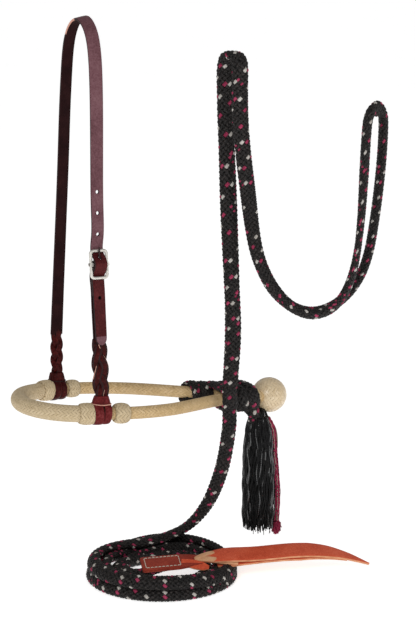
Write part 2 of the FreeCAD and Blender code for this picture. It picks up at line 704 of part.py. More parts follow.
# ---------------------------------------------------------------- checks and export
doc.recompute()
for obj in doc.Objects:
    if "Invalid" in obj.State or "Error" in obj.State:
        raise RuntimeError("%s: %s" % (obj.Name, obj.State))
os.makedirs("parts", exist_ok=True)
for node in nodes:
    shape = node.Shape
    if shape.isNull() or not shape.isValid() or len(shape.Solids) != 1:
        raise RuntimeError("%s: bad shape, %d solids" % (node.Label, len(shape.Solids)))
    shape.exportStep("parts/%s.step" % node.Label)
    box = shape.BoundBox
    print("%-18s %9.0f mm3  x %.0f..%.0f  y %.0f..%.0f  z %.0f..%.0f"
          % (node.Label, shape.Volume, box.XMin, box.XMax, box.YMin, box.YMax, box.ZMin, box.ZMax))
print("nodes", len(nodes))
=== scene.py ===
import json
import math

import bmesh
import bpy
import numpy as np
from mathutils import Matrix, Vector


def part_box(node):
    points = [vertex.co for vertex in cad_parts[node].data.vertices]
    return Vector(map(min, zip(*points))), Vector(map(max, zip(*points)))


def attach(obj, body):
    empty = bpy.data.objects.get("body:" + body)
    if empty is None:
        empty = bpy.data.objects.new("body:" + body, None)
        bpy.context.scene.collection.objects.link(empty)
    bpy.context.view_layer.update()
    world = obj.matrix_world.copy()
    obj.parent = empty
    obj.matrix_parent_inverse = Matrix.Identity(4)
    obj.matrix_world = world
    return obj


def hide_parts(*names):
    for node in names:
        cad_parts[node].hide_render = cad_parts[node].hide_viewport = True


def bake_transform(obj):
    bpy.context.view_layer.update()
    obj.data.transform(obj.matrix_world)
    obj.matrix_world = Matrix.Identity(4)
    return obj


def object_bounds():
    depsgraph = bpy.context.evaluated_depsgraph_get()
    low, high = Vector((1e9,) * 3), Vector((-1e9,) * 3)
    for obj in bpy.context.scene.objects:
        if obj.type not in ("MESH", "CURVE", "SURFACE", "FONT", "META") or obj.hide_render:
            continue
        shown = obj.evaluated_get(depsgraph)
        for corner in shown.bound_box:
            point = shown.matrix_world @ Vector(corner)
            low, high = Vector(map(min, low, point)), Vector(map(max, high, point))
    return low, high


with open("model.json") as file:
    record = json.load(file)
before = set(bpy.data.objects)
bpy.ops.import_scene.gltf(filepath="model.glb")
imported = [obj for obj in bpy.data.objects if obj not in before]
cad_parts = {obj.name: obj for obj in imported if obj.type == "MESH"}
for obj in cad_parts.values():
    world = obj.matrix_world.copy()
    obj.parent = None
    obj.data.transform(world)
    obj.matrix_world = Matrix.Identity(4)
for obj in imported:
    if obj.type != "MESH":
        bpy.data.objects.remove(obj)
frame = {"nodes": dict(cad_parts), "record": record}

# Bosal hackamore: leather hanger, braided rawhide noseband, rope mecate, tassel and popper.
# Shapes are worked out in millimetres in the row frame and put into meshes in metres.
CAD_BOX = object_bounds()
MM = 0.001
FLOOR = CAD_BOX[0][2] / MM
TAU = 2 * math.pi
X_AXIS, Y_AXIS, UP = np.eye(3)
STRAND_SHIFT = 211.7        # each woven strand's own place in its material's pattern
rng = np.random.default_rng(7)

# ---------- small tools
def unit(v):
    """Unit vectors, along the last axis."""
    v = np.asarray(v, float)
    return v / np.maximum(np.linalg.norm(v, axis=-1, keepdims=True), 1e-12)


def turning(axis, degrees):
    """Rotation about X, Y or Z as a 3x3 array."""
    return np.array(Matrix.Rotation(math.radians(degrees), 3, axis))


def moved(points, frame_of):
    """Points of a part's own frame, put into the row frame."""
    rotation, origin = frame_of
    return np.asarray(points, float) @ rotation.T + origin


HEADSTALL = (turning("Y", 1.35), np.zeros(3))
BOSAL = (turning("Y", 5.11), np.array([0, 0, -426.3]))
POPPER = (turning("Z", -17.5) @ turning("X", 12), np.array([58, -17, -627]))
VIEW_TURN = math.radians(28)
VIEW_RIGHT = np.array([math.cos(VIEW_TURN), -math.sin(VIEW_TURN), 0])
VIEW_AHEAD = np.array([math.sin(VIEW_TURN), math.cos(VIEW_TURN), 0])


def arc_length(points):
    return np.concatenate([[0], np.cumsum(np.linalg.norm(np.diff(points, axis=0), axis=1))])


def spaced(points, step):
    """The same line with points at an even spacing."""
    along = arc_length(points)
    count = max(2, int(round(along[-1] / step)) + 1)
    at = np.linspace(0, along[-1], count)
    return np.stack([np.interp(at, along, points[:, k]) for k in range(points.shape[1])], axis=1)


def cubic(points, step):
    """A smooth line through the points: a natural cubic spline over their spacing."""
    p = np.asarray(points, float)
    t = arc_length(p)
    h = np.diff(t)
    n = len(p)
    system = np.eye(n)
    right = np.zeros_like(p)
    for i in range(1, n - 1):
        system[i, i - 1:i + 2] = h[i - 1], 2 * (h[i - 1] + h[i]), h[i]
        right[i] = 6 * ((p[i + 1] - p[i]) / h[i] - (p[i] - p[i - 1]) / h[i - 1])
    m = np.linalg.solve(system, right)
    fine = np.linspace(0, t[-1], 12 * n)
    i = np.clip(np.searchsorted(t, fine, side="right") - 1, 0, n - 2)
    a = (t[i + 1] - fine)[:, None]
    b = (fine - t[i])[:, None]
    gap = h[i][:, None]
    curve = (m[i] * a ** 3 + m[i + 1] * b ** 3) / (6 * gap) \
        + (p[i] / gap - m[i] * gap / 6) * a + (p[i + 1] / gap - m[i + 1] * gap / 6) * b
    return spaced(curve, step)


def spline_line(route, step):
    """Evenly spaced points read from the NURBS spline that has the route, in metres, as its control points."""
    curve = bpy.data.curves.new("route", "CURVE")
    curve.dimensions = "3D"
    curve.resolution_u = 16
    spline = curve.splines.new("NURBS")
    spline.points.add(len(route) - 1)
    for point, place in zip(spline.points, route):
        point.co = (place[0], place[1], place[2], 1)
    spline.order_u = 3
    spline.use_endpoint_u = True
    holder = bpy.data.objects.new("route", curve)
    mesh = bpy.data.meshes.new_from_object(holder)
    points = np.array([v.co[:] for v in mesh.vertices])
    bpy.data.objects.remove(holder)
    bpy.data.curves.remove(curve)
    bpy.data.meshes.remove(mesh)
    return spaced(points / MM, step)


def directions(line):
    return unit(np.gradient(line, axis=0))


def squared(direction, along):
    """Directions made square to the line's own."""
    return unit(direction - np.sum(direction * along, axis=1, keepdims=True) * along)


def carried(line, first):
    """A direction square to the line, carried along it without twisting."""
    along = directions(line)
    side = np.zeros_like(line)
    held = np.asarray(first, float)
    for i, t in enumerate(along):
        held = unit(held - np.dot(held, t) * t)
        side[i] = held
    return along, side


def steered(line, wanted, trusted):
    """The line's width direction: carried along it, and turned to the wanted one where that is trusted."""
    along, side = carried(line, wanted[np.argmax(trusted)])
    third = np.cross(along, side)
    goal = squared(wanted, along)
    angle = np.arctan2(np.sum(goal * third, axis=1), np.sum(goal * side, axis=1))
    where = np.flatnonzero(trusted)
    smooth = np.interp(np.arange(len(line)), where, np.unwrap(angle[where], period=math.pi))
    smooth = smoothed(smooth, 23)
    wide = np.cos(smooth)[:, None] * side + np.sin(smooth)[:, None] * third
    return along, wide, np.cross(along, wide)


def smoothed(values, window):
    """A running mean, weighted to the middle of its window."""
    kernel = np.hanning(window)
    return np.convolve(np.pad(values, window // 2, mode="edge"), kernel / kernel.sum(), mode="valid")


def keyed(at, keys):
    """Numbers on straight lines between (place, value) keys."""
    places, values = zip(*keys)
    return np.interp(at, places, values)


# ---------- meshes
def face_outwards(mesh):
    """Turns every face of a mesh outwards."""
    shape = bmesh.new()
    shape.from_mesh(mesh)
    bmesh.ops.recalc_face_normals(shape, faces=shape.faces)
    shape.to_mesh(mesh)
    shape.free()


class Piece:
    """Gathers swept and filled faces, and makes one mesh object of them."""

    def __init__(self):
        self.verts, self.faces, self.uvs, self.slots = [], [], [], []
        self.count = 0

    def sweep(self, rings, slots=0, ends=True, start=0):
        """A tube through rings of points, (rings, points in a ring, 3)."""
        rings = np.asarray(rings, float)
        n, k = rings.shape[:2]
        along = start + arc_length(rings.mean(axis=1))
        across = arc_length(np.vstack([rings[n // 2], rings[n // 2][:1]]))
        index = self.count + np.arange(n * k).reshape(n, k)
        following = np.roll(index, -1, axis=1)
        self.verts.append(rings.reshape(-1, 3))
        self.count += n * k
        quads = np.stack([index[:-1], following[:-1], following[1:], index[1:]], axis=-1)
        self.faces.extend(quads.reshape(-1, 4).tolist())
        u0, u1, v0, v1 = along[:-1], along[1:], across[:-1], across[1:]
        corners = ((u0, v0), (u0, v1), (u1, v1), (u1, v0))
        uv = [np.stack(np.meshgrid(u, v, indexing="ij"), axis=-1) for u, v in corners]
        self.uvs.append(np.stack(uv, axis=2).reshape(-1, 2))
        slots = np.asarray(slots)
        if slots.ndim == 1 and len(slots) != k:
            slots = slots[:, None]
        slots = np.broadcast_to(slots, (n - 1, k))
        self.slots.extend(slots.reshape(-1).tolist())
        if ends:
            for ring, row, place in ((index[0][::-1], slots[0, 0], along[0]), (index[-1], slots[-1, 0], along[-1])):
                self.faces.append(ring.tolist())
                self.uvs.append(np.stack([np.full(k, place), across[:k]], axis=1))
                self.slots.append(int(row))

    def tube(self, centre, wide, high, sides, half_wide, half_high=None, **kept):
        """A tube of oval section along a line. Its directions may be one for the line or one for each point."""
        wide, high = np.broadcast_to(wide, centre.shape), np.broadcast_to(high, centre.shape)
        section = oval(half_wide, half_wide if half_high is None else half_high, sides)
        self.sweep(ring_of(centre, wide, high, section), **kept)

    def make(self, name, materials, sharp=None):
        mesh = bpy.data.meshes.new(name)
        verts = np.concatenate(self.verts) * MM
        mesh.from_pydata(verts.tolist(), [], self.faces)
        layer = mesh.uv_layers.new(name="UVMap")
        layer.data.foreach_set("uv", (np.concatenate(self.uvs) * MM).astype(np.float32).ravel())
        for item in materials:
            mesh.materials.append(SKINS[item])
        mesh.polygons.foreach_set("material_index", np.array(self.slots, dtype=np.int32))
        face_outwards(mesh)
        mesh.shade_smooth()
        if sharp:
            mesh.set_sharp_from_angle(angle=math.radians(sharp))
        mesh.update()
        obj = bpy.data.objects.new(name, mesh)
        bpy.context.scene.collection.objects.link(obj)
        return obj

    def stand_in(self, name, materials, slot, body, *nodes, sharp=None):
        """Makes the piece, hides the CAD nodes that it replaces, and rides it on a body. Its finish, slot, is not
        used.
        """
        made = self.make(name, materials, sharp)
        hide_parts(*nodes)
        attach(made, body)
        return made


def ring_of(centre, wide, high, section):
    """Rings of a section, given in (wide, high), set along a line. The section may change along it."""
    section = np.asarray(section, float)
    if section.ndim == 2:
        section = np.broadcast_to(section, (len(centre),) + section.shape)
    return centre[:, None] + section[..., :1] * wide[:, None] + section[..., 1:] * high[:, None]


def oval(half_wide, half_high, sides):
    """A ring of points on an oval; the halves may be one number or one for each ring."""
    angle = np.arange(sides) * TAU / sides
    half_wide, half_high = np.atleast_1d(half_wide), np.atleast_1d(half_high)
    ring = np.stack([half_wide[:, None] * np.cos(angle), half_high[:, None] * np.sin(angle)], axis=-1)
    return ring[0] if len(ring) == 1 else ring


def weave(piece, centre, wide, high, axis, half_wide, half_high, phase, carriers, thick, lift, out=None,
          twill=False, fill=1, colours=None, start=0):
    """Strands plaited over a tube of oval section: carriers wound each way, over and under one another."""
    n = len(centre)
    half_wide = np.broadcast_to(half_wide, n)[:, None]
    half_high = np.broadcast_to(half_high, n)[:, None]
    radial, axial = out if out is not None else (np.ones(n), np.zeros(n))
    count = phase * carriers / math.pi
    for way in (1, -1):
        for i in range(carriers):
            angle = way * phase + TAU * i / carriers
            c, s = np.cos(angle)[:, None], np.sin(angle)[:, None]
            spoke = unit(c / half_wide * wide + s / half_high * high)
            normal = unit(radial[:, None] * spoke + axial[:, None] * axis)
            around = -half_wide * s * wide + half_high * c * high
            reach = np.linalg.norm(around, axis=1)
            if twill:
                wave = np.cos(math.pi / 2 * (way * count + 2 * i - 0.5))
                height = way * np.clip(1.5 * wave, -1, 1)
            else:
                height = way * np.cos(math.pi * count)
            place = centre + half_wide * c * wide + half_high * s * high + (lift * height)[:, None] * normal
            path = directions(place)
            turned = np.abs(np.sum(path * around, axis=1)) / np.maximum(reach, 1e-9)
            spacing = reach * TAU / carriers * np.sqrt(np.clip(1 - turned ** 2, 0.02, 1))
            slots = 0 if colours is None else colours(way, i, count[:-1] + 0.5 * np.diff(count))
            piece.tube(place, unit(np.cross(path, normal)), normal, 6, 0.5 * fill * spacing,
                       np.minimum(thick, 0.9 * spacing) / 2, slots=slots,
                       start=start + STRAND_SHIFT * (i + carriers * (way < 0)))


def strap_section(width, thick, crown=0.15, ease=None):
    """A leather strap's section with eased edges, and the material slot of each side: grain, flesh, cut edge."""
    h, k, e = width / 2, thick / 2, ease or min(0.28 * thick, 0.8)
    top = [(x * (h - e), k + crown * (1 - x * x)) for x in (-1, -0.6, -0.2, 0.2, 0.6, 1)]
    right = [(h - 0.3 * e, k - 0.3 * e), (h, k - e), (h, e - k), (h - 0.3 * e, 0.3 * e - k)]
    bottom = [(x * (h - e), -k) for x in (1, 0.33, -0.33, -1)]
    left = [(-x, z) for x, z in right[::-1]]
    slots = [0] * 5 + [0, 2, 2, 2, 1] + [1] * 3 + [1, 2, 2, 2, 0]
    return np.array(top + right + bottom + left), np.array(slots)


STRAP_KINDS = strap_section(1, 1)[1]


def strap(piece, line, out, part, width, thick, crown=0.15, widths=None, slots=STRAP_KINDS, ease=None):
    """A leather strap along a line of a part's own frame, its grain side out. widths scales its width along it."""
    line, out = moved(line, part), out @ part[0].T
    section = strap_section(width, thick, crown, ease)[0]
    along = directions(line)
    out = squared(out, along)
    shape = np.broadcast_to(section, (len(line),) + section.shape).copy()
    if widths is not None:
        shape[..., 0] *= np.asarray(widths)[:, None]
    piece.sweep(ring_of(line, np.cross(along, out), out, shape), slots=slots)


def rounded_tip(along, radius):
    """Width shares that round a strap's far end."""
    inside = np.clip(1 - (along[-1] - along) / radius, 0, 1)
    return np.sqrt(1 - inside ** 2).clip(0.06)


def stitch(piece, start, end, out, radius=0.42, sink=0.25):
    """One stitch: a short thread that dips into the leather at both ends."""
    start, end, out = (np.asarray(v, float) for v in (start, end, out))
    share = np.linspace(0, 1, 7)
    lift = radius * np.sin(math.pi * share) - sink
    line = start + share[:, None] * (end - start) + lift[:, None] * out
    piece.tube(line, unit(np.cross(end - start, out)), out, 6, radius)


def cut(obj, cutters):
    """Takes the cutters out of a mesh object for good."""
    for cutter in cutters:
        change = obj.modifiers.new("cut", "BOOLEAN")
        change.operation = "DIFFERENCE"
        change.solver = "EXACT"
        change.object = cutter
    bpy.context.view_layer.update()
    baked = bpy.data.meshes.new_from_object(obj.evaluated_get(bpy.context.evaluated_depsgraph_get()))
    obj.modifiers.clear()
    old = obj.data
    obj.data = baked
    bpy.data.meshes.remove(old)
    for cutter in cutters:
        data = cutter.data
        bpy.data.objects.remove(cutter)
        bpy.data.meshes.remove(data)


def dress(skin, *nodes):
    """Gives CAD pieces their material."""
    for node in nodes:
        skins = frame["nodes"][node].data.materials
        skins.clear()
        skins.append(SKINS[skin])


# ---------- materials
def tint(red, green, blue):
    """A colour as seen, 0 to 255, in the linear numbers a shader takes."""
    shares = [c / 255 for c in (red, green, blue)]
    return tuple([c / 12.92 if c <= 0.04045 else ((c + 0.055) / 1.055) ** 2.4 for c in shares] + [1])


def add_node(tree, kind, values, **settings):
    """A new node, its inputs set to these values or linked to these outputs of other nodes."""
    made = tree.nodes.new("ShaderNode" + kind)
    for setting, value in settings.items():
        setattr(made, setting, value)
    fill_in(tree, made, values)
    return made


def fill_in(tree, node, values):
    for socket, value in values.items():
        if isinstance(value, bpy.types.NodeSocket):
            tree.links.new(value, node.inputs[socket])
        else:
            node.inputs[socket].default_value = value


def material(name, dark, middle, light, cell, coarse, rough, bump=0.25, deep=0.4, stretch=(1, 1, 1),
             pattern="noise", coords="UV", metallic=0, coat=0, specular=0.5):
    """A node material. cell and coarse are its fine and broad variation's sizes and deep its relief, in mm."""
    made = bpy.data.materials.new(name)
    made.use_nodes = True
    tree = made.node_tree
    place = add_node(tree, "TexCoord", {}).outputs[coords]

    def textured(kind, size, factors, values, **settings):
        scale = tuple(1000 / size * f for f in factors)
        mapping = add_node(tree, "Mapping", {"Vector": place, "Scale": scale})
        values = {"Vector": mapping.outputs["Vector"], "Scale": 1, **values}
        return add_node(tree, kind, values, **settings).outputs

    broad = textured("TexNoise", coarse, (1, 1, 1), {"Detail": 3})["Fac"]
    if pattern == "grain":
        height = textured("TexVoronoi", cell, stretch, {}, feature="SMOOTH_F1")["Distance"]
    elif pattern == "fibre":
        height = textured("TexWave", cell, stretch, {"Distortion": 3, "Detail": 2})["Fac"]
    else:
        height = textured("TexNoise", cell, stretch, {"Detail": 5})["Fac"]
    share = add_node(tree, "Math", {0: broad, 1: 0.75}, operation="MULTIPLY").outputs[0]
    blend = add_node(tree, "Math", {0: height, 1: 0.45, 2: share}, operation="MULTIPLY_ADD").outputs[0]
    ramp = add_node(tree, "ValToRGB", {"Fac": blend})
    first, last = ramp.color_ramp.elements
    first.position, first.color = 0.28, tint(*dark)
    last.position, last.color = 0.85, tint(*light)
    ramp.color_ramp.elements.new(0.565).color = tint(*middle)
    gloss = add_node(tree, "MapRange", {"Value": broad, "To Min": rough[0], "To Max": rough[1]})
    relief = add_node(tree, "Bump", {"Height": height, "Strength": bump, "Distance": deep * MM})
    shader = tree.nodes["Principled BSDF"]
    fill_in(tree, shader, {"Base Color": ramp.outputs["Color"], "Roughness": gloss.outputs["Result"],
                           "Normal": relief.outputs["Normal"], "Metallic": metallic, "Specular IOR Level": specular})
    if coat:
        fill_in(tree, shader, {"Coat Weight": coat, "Coat Roughness": 0.3})
    return made


GRAIN = dict(bump=0.35, deep=0.15, pattern="grain", specular=0.08)
RUSSET_GRAIN = dict(bump=0.3, deep=0.12, pattern="grain", specular=0.1)
CUT = dict(bump=0.4, deep=0.2, stretch=(0.3, 3, 1))
FIBRE = dict(bump=0.6, deep=0.25, stretch=(0.25, 1.6, 1), pattern="fibre", specular=0.15)
YARN = dict(bump=0.4, deep=0.15, stretch=(0.1, 1.5, 1), pattern="fibre")
SOLID = dict(coords="Object")
SKINS = {}
# Each material: its name, dark, middle and light colour, fine and broad size, roughness, and the rest.
for name, *looks, kept in [
    ("latigo_grain", (46, 12, 13), (72, 23, 25), (92, 36, 37), 1.6, 22, (0.34, 0.55), GRAIN),
    # A lighter copy of the latigo grain, with the same gloss: a painted sheen where light glances off the near
    # strap.
    ("latigo_sheen", (80, 49, 54), (104, 70, 76), (120, 87, 92), 1.6, 26, (0.38, 0.55), GRAIN),
    ("latigo_flesh", (20, 9, 9), (35, 16, 17), (48, 25, 25), 1, 14, (0.7, 0.9),
     dict(bump=0.5, deep=0.3, specular=0.06)),
    ("latigo_edge", (150, 96, 82), (196, 142, 124), (220, 172, 152), 1.2, 9, (0.6, 0.8), CUT),
    # Dark dyed cut edge; on the near braid it also gives painted shade along the strands' sides.
    ("latigo_dark_edge", (18, 7, 8), (32, 13, 14), (54, 25, 25), 1.2, 9, (0.5, 0.7), dict(CUT, specular=0.2)),
    # Its light colour comes in random patches: painted highlights on the plaited strands, over the leather's own
    # varying tone.
    ("latigo_plait", (28, 4, 4), (56, 11, 10), (86, 28, 26), 1.6, 12, (0.3, 0.5),
     dict(bump=0.2, deep=0.1, pattern="grain", specular=0.08)),
    ("latigo_bright", (60, 10, 12), (94, 26, 27), (124, 52, 54), 1.6, 10, (0.32, 0.5), GRAIN),
    ("russet_grain", (180, 64, 42), (212, 90, 60), (226, 112, 80), 1.4, 30, (0.42, 0.6), RUSSET_GRAIN),
    ("russet_dark", (114, 38, 28), (148, 56, 42), (168, 74, 54), 1.4, 24, (0.42, 0.6), RUSSET_GRAIN),
    ("russet_flesh", (180, 122, 84), (212, 160, 120), (230, 190, 154), 0.9, 12, (0.75, 0.92),
     dict(bump=0.5, deep=0.3, specular=0.2)),
    ("russet_edge", (168, 98, 66), (206, 140, 102), (224, 168, 130), 1.2, 9, (0.6, 0.8), dict(CUT, specular=0.2)),
    ("rawhide", (158, 137, 101), (192, 172, 138), (212, 193, 160), 2.2, 9, (0.42, 0.62),
     dict(bump=0.3, deep=0.12, stretch=(0.4, 2, 1), coat=0.05, specular=0.2)),
    ("rawhide_gold", (148, 120, 76), (198, 169, 124), (220, 194, 154), 1.3, 18, (0.38, 0.58),
     dict(bump=0.25, deep=0.1, stretch=(0.3, 2, 1), specular=0.12)),
    ("rawhide_pale", (170, 144, 104), (214, 191, 154), (232, 214, 182), 1.6, 12, (0.2, 0.34),
     dict(bump=0.2, deep=0.1, stretch=(0.4, 2, 1), coat=0.4)),
    # A darker rawhide for the core seen between plaited strands: painted shade in the gaps.
    ("rawhide_gap", (104, 84, 54), (136, 114, 78), (152, 130, 94), 1, 9, (0.6, 0.8), dict(specular=0.15)),
    ("core_rawhide", (120, 92, 54), (160, 130, 84), (178, 150, 104), 1.4, 10, (0.6, 0.8), SOLID),
    ("collar_rawhide", (168, 146, 104), (206, 184, 142), (222, 202, 164), 1.4, 10, (0.5, 0.7),
     dict(SOLID, specular=0.2)),
    ("nickel", (168, 164, 156), (208, 204, 196), (228, 226, 220), 0.5, 7, (0.42, 0.5),
     dict(SOLID, bump=0.01, deep=0.005, metallic=0.75, specular=0.4)),
    # A darkened copy of the nickel for the buckle's bar and tongue, which lie under and in the strap: painted shade.
    ("dark_nickel", (34, 24, 24), (52, 40, 40), (78, 64, 62), 0.5, 5, (0.5, 0.6),
     dict(SOLID, bump=0.02, deep=0.01, metallic=0.8, specular=0.2)),
    # Black rope whose light colour gives sparse pale specks: painted highlights on the strands, as well as yarn tone
    # that varies at random.
    ("rope_black", (2, 2, 2), (11, 9, 9), (64, 58, 56), 1.2, 2.6, (0.4, 0.6),
     dict(bump=0.6, deep=0.3, stretch=(0.5, 1.3, 1), specular=0.22)),
    ("rope_crimson", (84, 14, 38), (146, 36, 70), (184, 80, 112), 0.55, 7, (0.7, 0.9), FIBRE),
    ("rope_white", (118, 112, 104), (178, 173, 166), (212, 208, 202), 0.55, 7, (0.7, 0.9), FIBRE),
    ("yarn_black", (3, 3, 3), (10, 10, 10), (30, 30, 31), 0.6, 6, (0.3, 0.5), dict(YARN, specular=0.12)),
    ("yarn_gloss", (4, 4, 4), (11, 11, 12), (58, 58, 60), 0.8, 3, (0.08, 0.34), dict(YARN, specular=1)),
    ("yarn_crimson", (62, 8, 24), (124, 22, 50), (180, 70, 102), 0.4, 8, (0.7, 0.9),
     dict(bump=0.5, deep=0.2, stretch=(0.2, 1.5, 1), pattern="fibre", specular=0.15)),
    ("yarn_white", (120, 108, 94), (168, 156, 140), (206, 198, 184), 0.4, 8, (0.6, 0.85),
     dict(bump=0.4, deep=0.2, stretch=(0.2, 1.5, 1), pattern="fibre", specular=0.2)),
    ("thread", (188, 180, 160), (220, 212, 196), (236, 230, 216), 0.35, 5, (0.55, 0.75),
     dict(bump=0.4, deep=0.1, stretch=(0.5, 1, 1), pattern="fibre", specular=0.2))]:
    SKINS[name] = material(name, *looks, **kept)

# ---------- leather hanger
STRAP_SKINS = ["latigo_" + skin for skin in ("grain", "flesh", "edge", "sheen", "dark_edge", "plait", "bright")]
STRAP_WIDE, STRAP_THICK, BILLET_THICK = 14.4, 2.8, 2.4
BUCKLE = (-51, -262)
SLOPE = math.radians(8)
HINGE_Z = -400.1


def by_buckle(down, out):
    """A point by the buckle's centre bar: so far down the strap and so far out from it, as (Y, Z)."""
    return (BUCKLE[0] - down * math.sin(SLOPE) - out * math.cos(SLOPE),
            BUCKLE[1] - down * math.cos(SLOPE) + out * math.sin(SLOPE))


def side_line(points, step=1.2):
    """A smooth line in the headstall's YZ plane."""
    return cubic([(0, y, z) for y, z in points], step)


def punch(start, end, half_wide, half_high):
    """A cutter: an oval rod between two points of the headstall."""
    rod = Piece()
    line = np.linspace(moved(start, HEADSTALL), moved(end, HEADSTALL), 2)
    ahead = unit(line[1] - line[0])
    high = unit(UP - np.dot(UP, ahead) * ahead)
    rod.tube(line, np.cross(ahead, high), high, 20, half_wide, half_high, slots=4)
    return rod.make("cutter", STRAP_SKINS)


def strap_twist(line, out, turn):
    """Turns the strap's face about the line by an angle in degrees that changes along it."""
    angle = np.radians(turn)[:, None]
    return unit(np.cos(angle) * out + np.sin(angle) * np.cross(directions(line), out))


CROWN = [(62.5, -361), (59.3, -320), (55.6, -275), (51, -220), (46, -155), (42, -95),
         (38.8, -63.4), (35.2, -39.4), (27.2, -18.4), (14.8, -6), (0, -1.4), (-14.8, -6), (-27.2, -18.4),
         (-35.2, -39.4), (-38.8, -63.4), (-41, -95), (-43, -155), (-45.5, -205)]
CROWN += [by_buckle(down, out) for down, out in
          ((-30, -0.6), (-22, -3.2), (-15, -4), (-7.5, 1), (0, 6.4), (7.5, 1), (15, -4), (23, -4),
           (45, -3.6), (70, -3.4), (88, -3.4))]
BILLET = [(34, -7), (22, -7.1), (15, -7.5), (10, -5.7), (5, -1.4), (1.6, 2.6), (-2.6, 2.19), (-3.4, 0),
          (-2.6, -2.19), (1.5, -3.6), (5, -6.6), (10, -10.1), (15, -10.9), (22, -10.1), (40, -9.9),
          (60, -9.9), (87, -9.6)]
# The strap's holes: height from the bar, depth of the punch inwards and outwards, half width and half height.
# Three are open, one is in the tail, and the buckle's tongue goes through the last.
HOLES = [(32, 9, 9, 2, 2), (55, 9, 9, 2, 2), (78, 9, 9, 2, 2), (-37, 3, 6, 2, 2), (7, 9, 9, 1.7, 3.4)]

line = side_line(CROWN)
out = np.cross(directions(line), X_AXIS)
out *= np.sign(out[len(out) // 2][2])
near, top_down = line[:, 1] < 0, -line[:, 2]
near_turn = [(0, 12), (60, 13), (150, 3), (215, 0), (275, 0), (300, -6), (350, -14)]
far_turn = [(0, 12), (100, 11), (220, 11), (310, 6), (361, 0)]
out = strap_twist(line, out, np.where(near, keyed(top_down, near_turn), keyed(top_down, far_turn)))
rows = np.tile(STRAP_KINDS, (len(line) - 1, 1))
# Painted sheen: the near strap's upper part and tail tip take the lighter copy of the grain.
painted_sheen_area = near & ((top_down < 249) | (top_down > 340))
# Painted highlight: the cut edge keeps its pale colour only along the crown's top on the far side; elsewhere the
# edge is dark.
painted_highlight_edge = (line[:, 1] > 4) & (top_down < 20)
rows[(rows == 0) & painted_sheen_area[:-1, None]] = 3
rows[(rows == 2) & ~painted_highlight_edge[:-1, None]] = 4
crown = Piece()
strap(crown, line, out, HEADSTALL, STRAP_WIDE, STRAP_THICK, widths=rounded_tip(arc_length(line), 8.5), slots=rows)
crown = crown.stand_in("crown_strap_leather", STRAP_SKINS, "latigo", "hanger", "crown_strap", sharp=50)
cutters = []
for height, inward, outward, half_wide, half_high in HOLES:
    i = np.argmin(np.where(near, np.abs(line[:, 2] - (BUCKLE[1] + height)), 1e9))
    cutters.append(punch(line[i] - inward * out[i], line[i] + outward * out[i], half_wide, half_high))
cut(crown, cutters)

line = side_line([by_buckle(down, out) for down, out in BILLET], 1)
out = np.cross(directions(line), X_AXIS)
out *= -np.sign(out[0][1])
billet = Piece()
strap(billet, line, out, HEADSTALL, STRAP_WIDE - 1, BILLET_THICK, slots=np.where(STRAP_KINDS == 2, 4, STRAP_KINDS))
billet = billet.stand_in("billet_leather", STRAP_SKINS, "latigo", "hanger", "billet_strap", sharp=50)
tongue_z = BUCKLE[1] + 1
cut(billet, [punch((0, BUCKLE[0] - 14, tongue_z), (0, BUCKLE[0] + 9, tongue_z), 2, 8)])

seam = Piece()
outwards = np.array([0, -math.cos(SLOPE), math.sin(SLOPE)])
for side in (-1, 1):
    for down in (20, 22.8, 25.6):
        for out, face in ((-5.85, 1), (-11.35, -1)):
            ends = [moved((side * 4.8, *by_buckle(at, out)), HEADSTALL) for at in (down, down + 2.3)]
            stitch(seam, *ends, HEADSTALL[0] @ (face * outwards))
for share in (-1, -0.33, 0.34):
    ends = [moved((share * 4.6 + on, *by_buckle(24.6, -11.35)), HEADSTALL) for on in (0, 2.6)]
    stitch(seam, *ends, HEADSTALL[0] @ -outwards)
seam.stand_in("billet_stitches", ["thread"], "thread", "hanger", "billet_stitching")
dress("nickel", "buckle_frame")
# The bar and tongue take the darkened nickel: painted shade under and in the strap.
dress("dark_nickel", "buckle_bar", "buckle_tongue")


def slit_braid(name, node, top, bottom, width, out_sign, periods, first):
    """Three flat leather strands, plaited, between the strap and the cheek wrap."""
    piece = Piece()
    length = math.hypot(top[0] - bottom[0], top[1] - bottom[1])
    down = np.array([0, bottom[0] - top[0], bottom[1] - top[1]]) / length
    out = np.cross(down, X_AXIS)
    out *= np.sign(out[1] * out_sign)
    strand_wide, strand_thick = width * 0.47, 2
    at = np.linspace(-6, length + 9, 96)
    grown = keyed(at, [(-6, 0.6), (6, 0.9), (14, 1), (length - 8, 1), (length + 9, 0.7)])
    deepened = keyed(at, [(-6, 0.25), (8, 1), (length, 1), (length + 9, 0.6)])
    near_side = out_sign < 0
    grain, flesh = (5, 4) if near_side else (4, 5)
    for strand in range(3):
        phase = TAU * (at / length * periods + strand / 3) + first
        x = grown * (width - strand_wide) / 2 * np.sin(phase)
        depth = 1.9 * np.sin(2 * phase) * deepened
        line = np.array([0, *top]) + at[:, None] * down + x[:, None] * X_AXIS + depth[:, None] * out
        face = unit(out + 0.16 * np.cos(phase)[:, None] * X_AXIS)
        kinds = np.select([STRAP_KINDS == 0, STRAP_KINDS == 1], [grain, flesh], 4)
        rows = np.tile(kinds, (len(at) - 1, 1))
        # Painted shade: on the near braid the two outer strips of each strand's top take the dark edge colour, so
        # the middle reads as lit.
        if near_side:
            rows[:, 0] = rows[:, 4] = 4
        # The pale cut edge shows where an outer strand comes forward.
        shown = ((np.abs(np.cos(phase)) > 0.35) & (np.sin(2 * phase) > 0.1))[:-1]
        for corner in {0: (5, 6), 2: (16, 17)}.get(strand, ()):
            rows[shown, corner] = 2
        strap(piece, line, face, HEADSTALL, strand_wide, strand_thick, 0.3, slots=rows, ease=0.6)
    made = piece.make(name, STRAP_SKINS, sharp=50)
    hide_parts(node)
    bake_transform(made)


